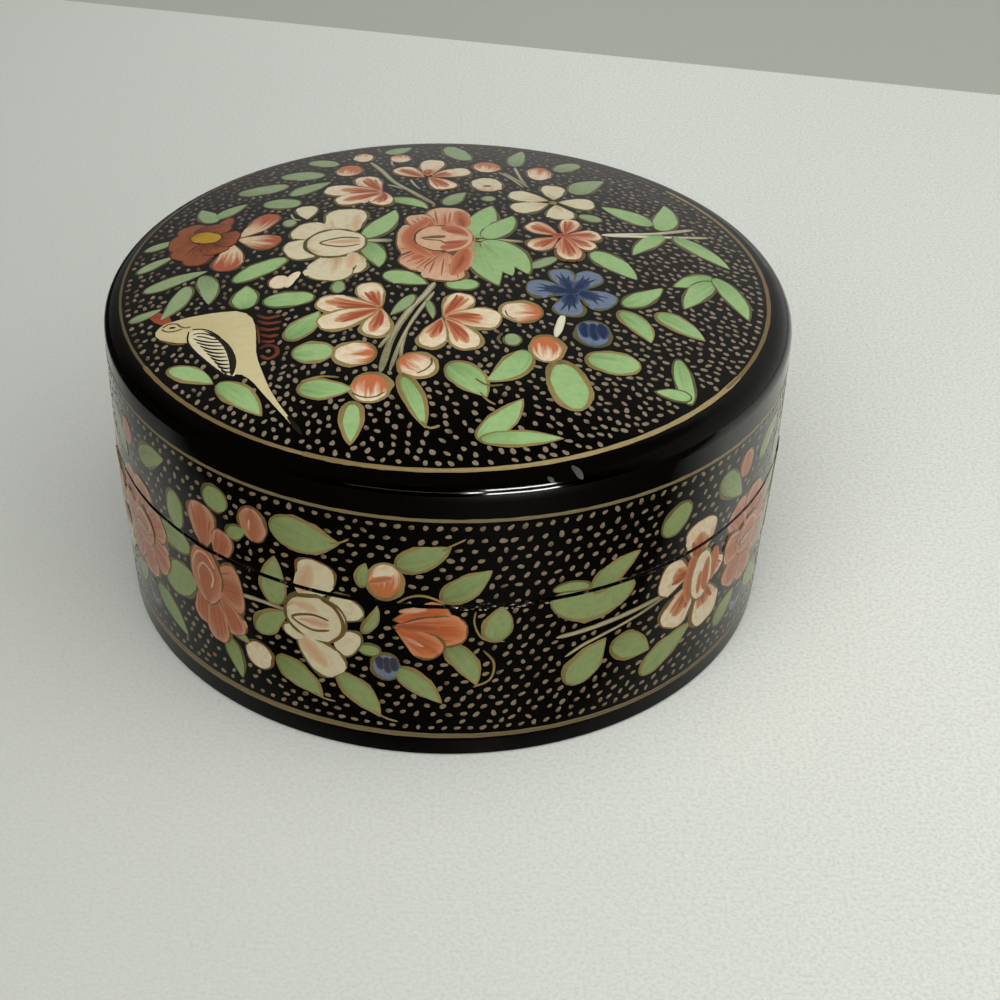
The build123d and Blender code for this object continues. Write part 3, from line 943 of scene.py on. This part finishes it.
# ------------------------------------------------------------
# White flowers: peonies with a round heart and an eye, the flower with five petals and two
# round buds; body white with thin warm streaks and brown-grey outlines.

PAINTS["white"] = brush_paint("white_petal_paint", (216, 206, 172), (186, 154, 112), 5.0, 0.45)


def white(x0, y0, x1, y1, half, bend=0.0, reach=0.5, grow=0.2, rim="rim", shape=PETAL):
    """A petal in body white."""
    return petal(x0, y0, x1, y1, half, bend, reach, "white", rim, grow, shape)


def lens(x0, y0, x1, y1, half):
    """The peony's eye: a drawn lens, open at its right end, with a warm slit in it."""
    y, middle, mouth = (y0 + y1) / 2, (x0 + x1) / 2, half * 0.6
    rim = [(x1, y1 + mouth), (middle, y + half), (x0, y), (middle, y - half), (x1, y1 - mouth)]
    return [line("line", 0.24, *rim), stroke("blush", x0 + 0.8, y, x1 - 0.2, y1, mouth, 0.1, 1.2, PETAL)]


paint_motifs_on_top("white_flowers", [
    flower(white, (-13.8, 6, -14.2, 14.9, 3.2, 0.1, 0.55), (-15.2, 5.6, -20.8, 9.5, 2.9, -0.2, 0.55),
           (-15.6, 4.8, -21.6, 2.2, 3.1, 0, 0.55), (-13.2, 2.8, -12.6, -4, 2.2, 0, 0.65),
           (-14.8, 3.2, -16, -5.5, 3.4, 0.2, 0.55),
           (-19, 4.4, -11.2, 4.5, 4.2, 0, 0.3, 0.42, "rim", FULL))
    + lens(-17.2, 4.5, -11.6, 4.6, 1.3)
    + [stroke("blush", -12.6, 8, -12.6, 12.8, 0.9, 0.1, 0.8),
       stroke("blush", -12.8, 1.6, -13, -2.8, 1, 0.1, 0.8)],
    white(-19.4, 12.2, -19.8, 16.6, 1.6, 0, 0.3)
    + [line("stem", 0.2, (-21.8, 14.4), (-21.2, 12.6), (-20.2, 12))],
    # five petals
    flower(white, (14.2, 19.4, 14.2, 24.8, 1.9), (14.8, 18.6, 19.8, 18.8, 2.1), (14.4, 17.6, 15.2, 12.8, 2.1),
           (13.4, 17.8, 8.4, 15, 2), (13.4, 18.8, 8, 20.4, 2), reach=0.45)
    + [stroke("gold", 13.4, 18.3, 14.6, 18.3, 0.5)],
    white(5, 21.2, 5, 26.4, 2.4, 0, 0.4, 0.2, "line", FULL)
    + [stroke("line", 4.4, 23.2, 5.6, 23.2, 0.4)],
])
paint_motifs_round_wall("white_flowers", [
    petal(-17, 22.8, -15.2, 29.2, 2.8, 0, 0.3, "white")
    + [stroke("blush", -18, 23.6, -16.4, 28.6, 1.3, 0.1, 1)]
    + flower(white, (-13.8, 20.8, -11.2, 24.4, 2.5, 0, 0.4), (-14, 18.6, -10.8, 16.8, 2.4, 0, 0.4),
             (-19, 17.6, -13.4, 11.9, 2.8, 0.2, 0.45))
    + [stroke("blush", -18.6, 17, -14.8, 12.8, 1.3, 0.1, 1)]
    + flower(white, (-18.4, 19, -19.6, 16.4, 1.5),
             (-20, 20.3, -12.1, 20.5, 3.85, 0, 0.3, 0.32, "rim", FULL))
    + [line("line", 0.36, (-15.4, 23.9), (-13.5, 22.8), (-12.5, 20.6), (-12.8, 18.6), (-14.4, 16.9)),
       stroke("blush", -18.8, 22, -15.6, 21.6, 0.9, 0.2, 0.8)]
    + lens(-19.2, 19.6, -14, 19.8, 1.2),
])


# ------------------------------------------------------------
# Blue flower and buds: light blue petals with navy streaks. Russet flower: rough red-brown
# petals with a yellow heart.

PAINTS["blue"] = brush_paint("blue_petal_paint", (110, 124, 144), (72, 90, 118), 4.0, 0.4)
PAINTS["navy"] = brush_paint("navy_paint", (82, 100, 132), (26, 42, 70), 5.0, 0.7, core=True)
PAINTS["russet"] = brush_paint("russet_petal_paint", (142, 78, 44), (96, 40, 22), 7.0, 0.5)
PAINTS["umber"] = brush_paint("russet_outline_paint", (78, 40, 24), (54, 28, 16), 3.0, 0.5)
PAINTS["yellow"] = brush_paint("yellow_heart_paint", (182, 142, 28), (146, 92, 20), 4.0, 0.5)


def blue(x0, y0, x1, y1, half, bend=0.0):
    """A grey-blue petal with a soft navy stroke up its middle that ends in fingers."""
    chord = (x0, y0, x1, y1)
    strokes = petal(*chord, half, bend, 0.4, "blue", "rim")
    strokes.append(stroke("navy", x0, y0, *beside(*chord, 0.6, 0.0), half * 0.6, bend, 0.9))
    for off in (-0.5, 0.0, 0.5):
        tip = beside(*chord, random.uniform(0.68, 0.88), off * half)
        strokes.append(stroke("navy", *beside(*chord, 0.25, 0.0), *tip, 0.22, bend, 1.0, LEAF))
    return strokes


def russet(x0, y0, x1, y1, half, bend=0.0, shape=PETAL):
    """A rough red-brown petal, more or less deep."""
    return petal(x0, y0, x1, y1, half, bend, random.uniform(0.4, 0.8), "russet", "umber", 0.14, shape)


def blue_bud(x, low, high, half):
    """A grey-blue bud with navy strokes over its upper part."""
    strokes = petal(x, low, x, high, half, 0.0, 0.3, "blue", "rim", 0.35, FULL)
    for off in (-0.5, 0.0, 0.45):
        start, end = (x + off * half, high - 0.3), (x + off * half + 0.3, low + 1.0 + abs(off))
        strokes.append(stroke("navy", *start, *end, half * 0.42, 0.0, 1.0))
    return strokes


paint_motifs_on_top("blue_and_russet_flowers", [
    flower(blue, (15.4, -6.8, 14, -1.9, 1.8), (16, -6.8, 18.8, -2.1, 1.8),
           (16.2, -7.4, 20.6, -9.8, 2.4, 0.2), (15.4, -8, 14.8, -13, 2.1), (15, -7.4, 9.8, -6.9, 2.1))
    + [stroke("navy", 14.4, -7.3, 16.6, -7.3, 0.7, 0, 1.2)],
    blue_bud(17.8, -19, -13.9, 2.3),
    flower(russet, (-31.8, 8, -29.9, 14.8, 1.2, 0.2, FULL), (-32.6, 7.4, -35.8, 13.4, 2.3),
           (-34.6, 11.2, -29.6, 11.6, 1.9, 0, FULL), (-32, 8.4, -37.7, 8.2, 2.7),
           (-32.2, 8.6, -36.2, 3.6, 2.4), (-32.2, 8.6, -33.8, 1.3, 2.1), (-32.4, 8.2, -30.6, 4, 2.1),
           (-32.4, 8.4, -28.3, 7.6, 2.6))
    + petal(-34.7, 10, -30.8, 8, 1.8, 0, 0.4, "yellow", "umber", 0.2, FULL),
])
paint_motifs_round_wall("blue_buds", [
    blue_bud(-7.2, 12.5, 16.5, 1.8),
    blue_bud(47, 7, 11, 1.8),
])


# ------------------------------------------------------------
# The bird at the left of the lid: cream body drawn in one sweep from crown to tail, a white
# wing with fine black slanting strokes, a red crest and beak, and red-brown scrolls behind it.

PAINTS["bird"] = brush_paint("bird_paint", (206, 193, 148), (186, 170, 122), 3.0, 0.8)
PAINTS["black"] = brush_paint("black_line_paint", (34, 30, 22), (16, 14, 10), 2.0, 0.5)
PAINTS["crest"] = brush_paint("crest_paint", (150, 74, 46), (122, 52, 32), 3.0, 0.5)
PAINTS["red"] = brush_paint("red_brown_paint", (112, 56, 34), (62, 30, 18), 3.0, 0.5)


def between(upper, lower, along=26, across=9):
    """Plan grid between two given edges: both are followed at even speed, and points go straight
    from the lower edge (s = -1) to the upper one (s = 1)."""
    edges = []
    for points in (lower, upper):
        knots = np.array(points, float)
        way = np.concatenate([[0], np.cumsum(np.linalg.norm(np.diff(knots, axis=0), axis=1))])
        even = np.linspace(0, way[-1], along)
        edges.append(np.stack([np.interp(even, way, knots[:, k]) for k in (0, 1)], -1))
    s = (np.sin(np.linspace(-np.pi / 2, np.pi / 2, across)) + 1) / 2
    return (edges[0][:, None] * (1 - s)[:, None] + edges[1][:, None] * s[:, None])[None]


BACK_LINE = [(-36.8, -13.4), (-35.5, -12.3), (-33.0, -11.5), (-30.0, -11.1), (-27.0, -11.0), (-25.5, -11.8),
             (-24.6, -13), (-24, -15), (-23.7, -18), (-23.5, -21), (-22.8, -23.5), (-22, -26),
             (-21.3, -28), (-19.9, -31), (-18.3, -33.8), (-17.2, -35.8)]
BREAST_LINE = [(-36.8, -13.8), (-36.5, -15.5), (-35.5, -16.2), (-34.0, -17.0), (-32.3, -17.3), (-31.8, -18.2),
               (-29.6, -21.5), (-27.2, -24.3), (-25, -24.8), (-23.7, -26), (-22.2, -28.5), (-20.6, -31),
               (-18.9, -33.6), (-17.4, -36)]
WING_OUT = [(-32.4, -14.6), (-32.4, -16.6), (-31.7, -18.4), (-29.5, -21.6), (-27.2, -24.4), (-25.8, -25.3)]
WING_IN = [(-32.2, -14.4), (-30.2, -14.9), (-28.1, -17.0), (-26.6, -19.4), (-25.8, -21.6), (-25.6, -24.6)]

bird_body = coat(between(BACK_LINE, BREAST_LINE), FIRST_COAT + COAT, [5.0], 0.4)
bird_wing = coat(between(WING_IN, WING_OUT, 16, 7), FIRST_COAT + 2 * COAT, [9.0], -0.2)
paint_top("top_bird_body", [bird_body], PAINTS["bird"])
paint_top("top_bird_wing", [bird_wing], PAINTS["white"])

LADDER = 10     # dark strokes down the wing, from its outer edge to the dark band
OUTER_ENDS = np.linspace((-31.8, -16.4), (-27.0, -24.2), LADDER)
INNER_ENDS = np.linspace((-27.9, -17.9), (-26.0, -24.9), LADDER)

bird_lines = [
    [line("black", 0.15, *WING_OUT), line("black", 0.15, *WING_IN[:3])],
    [stroke("black", *outer, *inner, 0.17, -0.35) for outer, inner in zip(OUTER_ENDS, INNER_ENDS)],
    [stroke("black", -30.8, -14.8, -26.2, -24.8, 0.5, 1.5, 0.5, PETAL)],
    [line("black", 0.15, (-31.9, -15.6), (-30.9, -15.5), (-29.8, -16), (-29, -16.6))],
    [line("black", 0.15, (-31.4, -16.1), (-30.4, -16.4), (-29.4, -17), (-28.3, -17.3))],
    [line("line", 0.17, (-36, -13.4), (-35.2, -12.7), (-34.2, -12.8), (-33.6, -13.5), (-32.9, -13.9),
          (-32.2, -13.8))],
    [line("line", 0.17, (-36, -13.5), (-35.4, -14.2), (-34.3, -14.4), (-33.2, -14))],
    [stroke("black", -35.1, -13.5, -34.2, -13.6, 0.22)],
    [line("line", 0.14, (-36.2, -15.8), (-35, -16.6), (-34, -17.2), (-32.6, -17.4))],
    [stroke("black", -18.9, -33, -17, -36.3, 0.3)],
]
paint_motifs_on_top("bird_lines", bird_lines, 4)
paint_motifs_on_top("bird_reds", [
    [stroke("crest", -38.2, -9.4, -35.2, -12.7, 1, 0.2)],
    [line("red", 0.16, (-24, -14.6), (-23.6, -16.6), (-23.3, -19))],
    [line("red", 0.3, (-24.2, -12.4), (-22.8, -13.4), (-21, -13))],
    [line("red", 0.3, (-24, -13.8), (-22.6, -14.6), (-20.8, -14.4))],
    [line("red", 0.3, (-23.8, -15.4), (-22.4, -16), (-20.9, -15.8))],
    [line("red", 0.3, (-23.4, -16.8), (-22.2, -17.4), (-21, -17.2))],
    [line("red", 0.3, (-23.2, -18.2), (-22.2, -18.6), (-21.4, -18.4))],
    [line("red", 0.3, (-23.3, -20), (-22.4, -19.3), (-21.2, -19.8), (-21, -21.2), (-22, -22),
          (-23, -21.2))],
])


# ------------------------------------------------------------
# Filler dots: short dabs of buff and gold that fill the black ground between the motifs, in
# rows along the gold lines and scattered evenly elsewhere.

PAINTS["dot"] = brush_paint("filler_dot_paint", (138, 124, 102), (82, 70, 52), 2.0, 0.6)
BACK_STEP = 1.0         # least distance between dots on the lid's top, at the back
FRONT_STEP = 1.28       # at its front
WALL_STEP = 1.25        # and on the walls
KEEP_OFF = 0.6          # a dot's middle stays this far from painted motifs
RING_ROW = 1.02         # the first row of dots lies this far from a gold line
FIELD = 41.0            # radius of the dotted field on the top, about
TRIES = 60000           # places tried for the free dots, far more than find room
ROW_RISE = 1.36         # from one row of the walls to the next
ALL_ROUND = np.pi * SEAM_RADIUS     # the way round the walls to the middle of the back


def scattered(candidates, place, steps):
    """Plan places taken in turn wherever nothing painted lies near, and no dot lies within a place's step."""
    motif_points = np.concatenate(painted)
    motifs = KDTree(len(motif_points))
    for k, point in enumerate(motif_points):
        motifs.insert(point, k)
    motifs.balance()
    spots = place(candidates, np.zeros(len(candidates)))
    widest = steps.max()
    kept, cells = [], {}
    for k, spot in enumerate(spots):
        cell = tuple((spot // widest).astype(int))
        near = [m for dx in (-1, 0, 1) for dy in (-1, 0, 1) for dz in (-1, 0, 1)
                for m in cells.get((cell[0] + dx, cell[1] + dy, cell[2] + dz), ())]
        if near and np.min(np.linalg.norm(spots[near] - spot, axis=1)) < steps[k]:
            continue
        if motifs.find(spot)[2] < KEEP_OFF:
            continue
        cells.setdefault(cell, []).append(k)
        kept.append(k)
    return candidates[kept]


def dabs(places, lean, size, far):
    """Strokes of about size long at the places, leaning by an angle with some spread; far, 0 to 1, makes
    them darker: painted shade."""
    angle = lean + random.normal(0, 0.45, len(places))
    half_length = size * random.uniform(0.4, 0.58, len(places))
    ahead = np.stack([np.cos(angle), np.sin(angle)], -1) * half_length[:, None]
    half = size * random.uniform(0.28, 0.4, len(places))
    rows = np.concatenate([places - ahead, places + ahead, half[:, None], 0 * half[:, None]], 1)
    shapes = np.stack([random.uniform(0.4, 0.6, len(rows)), random.uniform(0.4, 0.8, len(rows))], -1)
    grid = blades(rows, shapes, 6, 5)
    depth = random.uniform(-0.2, 0.7, len(rows)) + far * 0.8
    return coat(grid, FIRST_COAT, random.uniform(0, 99, len(rows)), depth)


def ring_row():
    """Dots 1.5 mm apart beside the ring on the top, and free ones inside them."""
    step = 1.5 / FIELD
    angle = np.arange(0, 2 * np.pi, step) + random.normal(0, 0.004, int(np.ceil(2 * np.pi / step)))
    out = ring_radius(angle) - RING_ROW
    row = np.stack([out * np.cos(angle), out * np.sin(angle)], -1)
    free = random.uniform(-FIELD, FIELD, (TRIES, 2))
    free = free[np.hypot(free[:, 0] + 0.6, free[:, 1] + 0.2) < FIELD - 0.4]
    return np.concatenate([row, free])


def wall_rows():
    """Dots in rows under the lid's gold line, over the foot line and in between, and free ones."""
    way = np.arange(-ALL_ROUND, ALL_ROUND, 1.65)
    high = np.stack([way, LID_LINE - 0.35 * np.sin(way / SEAM_RADIUS) - RING_ROW], -1)
    low = np.stack([way + 0.8, FOOT_LINE + 0.35 - 0.3 * np.sin(way / SEAM_RADIUS + 0.3) + RING_ROW + 0.2], -1)
    along, up = np.meshgrid(np.arange(-ALL_ROUND, ALL_ROUND, 1.85), np.arange(5.8, 36.0, ROW_RISE))
    along = along + 0.9 * (up / ROW_RISE % 2).round()
    rows = np.stack([along, up], -1).reshape(-1, 2) + random.normal(0, 0.13, (along.size, 2))
    anywhere = random.uniform(-np.pi, np.pi, TRIES) * SEAM_RADIUS
    free = np.stack([anywhere, random.uniform(4.6, 36.4, TRIES)], -1)
    return np.concatenate([high, low, rows, free])


def near_front(plan):
    """1 in the front middle of the top, fading to 0 as a bell curve."""
    return np.exp(-(((plan[:, 0] - 1) / 17) ** 2) - ((plan[:, 1] + 36) / 14) ** 2)


spread = ring_row()
top_dots = scattered(spread, on_top, BACK_STEP + (FRONT_STEP - BACK_STEP) * near_front(spread))
spread = wall_rows()
wall_dots = scattered(spread, on_wall, np.full(len(spread), WALL_STEP))
lean_top = 1.4 + 0.5 * near_front(top_dots) + 1.2 * ((top_dots[:, 0] + 5) / 30).clip(0, 1)
lean_wall = 0.5 + 0.3 * np.sin(wall_dots[:, 0] / 9)
size_top = 0.9 + 0.1 * near_front(top_dots)
# painted shade: dots towards the back and left of the top are painted darker, and those on the walls a little
# darker
shaded_top = ((top_dots[:, 1] - top_dots[:, 0] * 0.4 + 25) / 50).clip(0, 1)
paint_top("top_filler_dots", [dabs(top_dots, lean_top, size_top, shaded_top)], PAINTS["dot"])
paint_wall("filler_dots", [dabs(wall_dots, lean_wall, 0.96, 0.25)], PAINTS["dot"])


# ------------------------------------------------------------
# Wear: small chips along the seam, where the lid has knocked the paint off the chalk ground, and
# two grey scuffs in the varnish of the lid's edge.

PAINTS["chalk"] = brush_paint("bare_chalk_ground", (160, 154, 138), (110, 102, 86), 3.0, 0.5)
PAINTS["scuff"] = brush_paint("scuffed_lacquer", (74, 74, 70), (46, 46, 42), 3.0, 0.5)
# chipped stretches of the seam, from one place on the way round to another
CHIPPED = [(2.3, 2.8), (3.9, 4.7), (6.4, 7.5), (8.0, 9.4), (12.0, 13.4), (-21.0, -19.5), (60.0, 63.0),
           (-80.0, -76.0)]

chips = []
for start, end in CHIPPED:
    for way in np.arange(start, end, 0.6) + random.uniform(-0.2, 0.2):
        low = SEAM - SEAM_GAP - random.uniform(0.1, 0.35)
        far = way + random.uniform(0.2, 0.6)
        chips.append([stroke("chalk", way, low, far, low - 0.05, random.uniform(0.08, 0.16))])
for paint, films in coats_by_paint(chips, 4).items():
    paint_wall(f"seam_chips_{paint}", films, PAINTS[paint])
paint_motifs_on_top("edge_scuffs", [
    [stroke("scuff", 14.2, -40.9, 15.6, -41.8, 0.4)],
    [stroke("scuff", 11.4, -42.6, 12.2, -42.7, 0.22)],
])


# ------------------------------------------------------------
# The studio: the camera, a pale table with a slanting back edge and darker ground beyond it, two
# soft lamps, the window that the varnish mirrors, and the room round them.

CAMERA_AWAY = 6.408684 * SEAM_RADIUS * MM      # from the middle of the underside to the lens
CAMERA_UP = np.radians(36.935606)              # height of the lens over the table, as an angle
PAN, TILT, ROLL = np.radians([-1.514460, 1.349348, -0.748178])


def turn(axis, angle):
    """Turning matrix about one axis."""
    return np.array(Matrix.Rotation(angle, 3, axis))


lens_place = CAMERA_AWAY * np.array([0, -np.cos(CAMERA_UP), np.sin(CAMERA_UP)])
ahead = -lens_place / np.linalg.norm(lens_place)
right = np.array([1.0, 0.0, 0.0])
above = np.cross(right, ahead)
view_axes = turn("Z", ROLL) @ turn("X", TILT) @ turn("Y", PAN) @ np.array([right, above, ahead])
camera = bpy.data.cameras.new("camera")
camera.lens = 72
camera.sensor_width = 36
camera.clip_start = 0.01
camera_object = bpy.data.objects.new("camera", camera)
turned = np.array([view_axes[0], view_axes[1], -view_axes[2]]).T
camera_object.matrix_world = Matrix.Translation(lens_place) @ Matrix(turned.tolist()).to_4x4()
bpy.context.scene.collection.objects.link(camera_object)
bpy.context.scene.camera = camera_object


MIRROR_BACK = -0.013            # from here to the front the mirrored table gets darker,
MIRROR_LEFT = -0.070            # and from here to the left
MIRROR_FADE = 0.032
MIRRORED_DARK = pigment(14, 14, 13)


def table_finish(name, light_side, dark_side):
    """Pale matt paper or paint with a faint grain, painted darker to the left and a little towards the front:
    painted shade of the light's falloff.
    """
    finish = Finish(name)
    place = finish.place()
    across, back = finish.axis(place, "X"), finish.axis(place, "Y")
    grain = finish.noise(place, 1900, 4.0, 0.6)
    blotch = finish.noise(place, 14, 2.0)
    # painted shade: the colour goes from the lit colour on the right and at the back to the shaded one on the
    # left and at the front
    share = (across * 6.0 + back * 1.2 + 0.62 + (blotch - 0.5) * 0.12).limited()
    colour = finish.mix(share, dark_side, light_side)
    colour = finish.mix(((grain - 0.42) * 3.4).limited() * 0.6, colour, dark_side)
    # painted reflection: for rays that the varnish mirrors, the table is painted dark in front of the box and
    # far to its left, and stays pale elsewhere
    mirrored = finish.add("LightPath", {}, {}, "Is Glossy Ray")
    in_front = (MIRROR_BACK - back) / MIRROR_FADE
    far_left = (MIRROR_LEFT - across) / MIRROR_FADE
    colour = finish.mix(mirrored * (in_front.limited() + far_left.limited()).limited(), colour, MIRRORED_DARK)
    return finish.varnished(colour, 0.6, finish.bump(grain, 0.00006), 1.3)


def flat_sheet(name, corners, material):
    """A flat four-cornered sheet of the studio."""
    mesh = bpy.data.meshes.new(name)
    mesh.from_pydata(corners, [], [(0, 1, 2, 3)])
    mesh.materials.append(material)
    sheet = bpy.data.objects.new(name, mesh)
    bpy.context.scene.collection.objects.link(sheet)


SIDE, FRONT = 1.5, -1.2         # the table's sides and front edge
BACK_LEFT, BACK_RIGHT = 0.4934, -0.1247     # its back edge runs away slanting
BELOW, FAR_BACK = -0.0005, 1.2              # the ground beyond it, a hair lower
paper = table_finish("paper_table", pigment(236, 239, 230), pigment(196, 199, 191))
table = [(-SIDE, FRONT, 0), (SIDE, FRONT, 0), (SIDE, BACK_RIGHT, 0), (-SIDE, BACK_LEFT, 0)]
flat_sheet("table", table, paper)
beyond = table_finish("table_beyond", pigment(186, 189, 178), pigment(172, 175, 165))
floor = [(-SIDE, FRONT, BELOW), (SIDE, FRONT, BELOW), (SIDE, FAR_BACK, BELOW), (-SIDE, FAR_BACK, BELOW)]
flat_sheet("table_beyond", floor, beyond)


def soft_lamp(name, place, aim_height, width, height, power, shape="DISK", window=False):
    """A soft box that points at a height in the middle of the box. It lights and leaves no bright patch
    in the varnish, or, as a part of the window, it is mirrored there and doesn't light."""
    lamp = bpy.data.lights.new(name, "AREA")
    lamp.shape = shape
    lamp.size = width
    lamp.size_y = height
    lamp.energy = power
    lamp_object = bpy.data.objects.new(name, lamp)
    lamp_object.visible_glossy = window
    lamp_object.visible_diffuse = not window
    away = Vector(place) - Vector((0, 0, aim_height))
    lamp_object.matrix_world = Matrix.Translation(place) @ away.to_track_quat("Z", "Y").to_matrix().to_4x4()
    bpy.context.scene.collection.objects.link(lamp_object)


soft_lamp("overhead", (0.25, -0.56, 1.1), 0.02, 2.6, 2.6, 22.0)
soft_lamp("fill", (-0.35, -0.85, 0.75), 0.02, 1.0, 1.0, 4.8)
# the window as the varnish mirrors it: two bright panes, one over the other, a small one at the
# left and a faint long one beyond; place, width, height and power
PANES = {"high": ((0.405, -1.0, 0.54), 0.42, 0.1, 4.5), "low": ((0.405, -1.0, 0.16), 0.42, 0.1, 4.5),
         "left": ((0.14, -1.10, 0.34), 0.07, 0.07, 0.9), "far": ((-0.25, -1.05, 0.36), 0.6, 0.04, 0.1)}
for side, (place, width, height, power) in PANES.items():
    soft_lamp(f"window_{side}", place, 0.04, width, height, power, "RECTANGLE", True)


# the room: pale low down, dark overhead, lighter on the window's side; mirrored it is lighter behind,
# and seen past the table it is plain. Its steps are the height of a look, 0 level and 1 straight up,
# and the brightness there
ROOM_STEPS = [(0.0, 0.8), (0.2, 0.7), (0.34, 0.6), (0.5, 0.48), (0.68, 0.36), (0.78, 0.05), (1.0, 0.03)]
world = bpy.data.worlds.new("studio")
bpy.context.scene.world = world
world.use_nodes = True
room = Nodes(world.node_tree)
background = world.node_tree.nodes["Background"]
toward = room.add("TexCoord", {}, {}, "Generated")
greys = [(height, (level, level, level * 0.98)) for height, level in ROOM_STEPS]
shade = room.add("ValToRGB", {"stops": greys}, {"Fac": room.axis(toward, "Z")})
room.join(shade, background.inputs["Color"])
mirrored = room.add("LightPath", {}, {}, "Is Glossy Ray")
seen = room.add("LightPath", {}, {}, "Is Camera Ray")
strength = (0.85 + room.axis(toward, "X") * 0.9) * (0.55 - mirrored * (0.35 - room.axis(toward, "Y") * 0.4))
room.join(strength * (1.0 - seen) + seen * 0.9, background.inputs["Strength"])
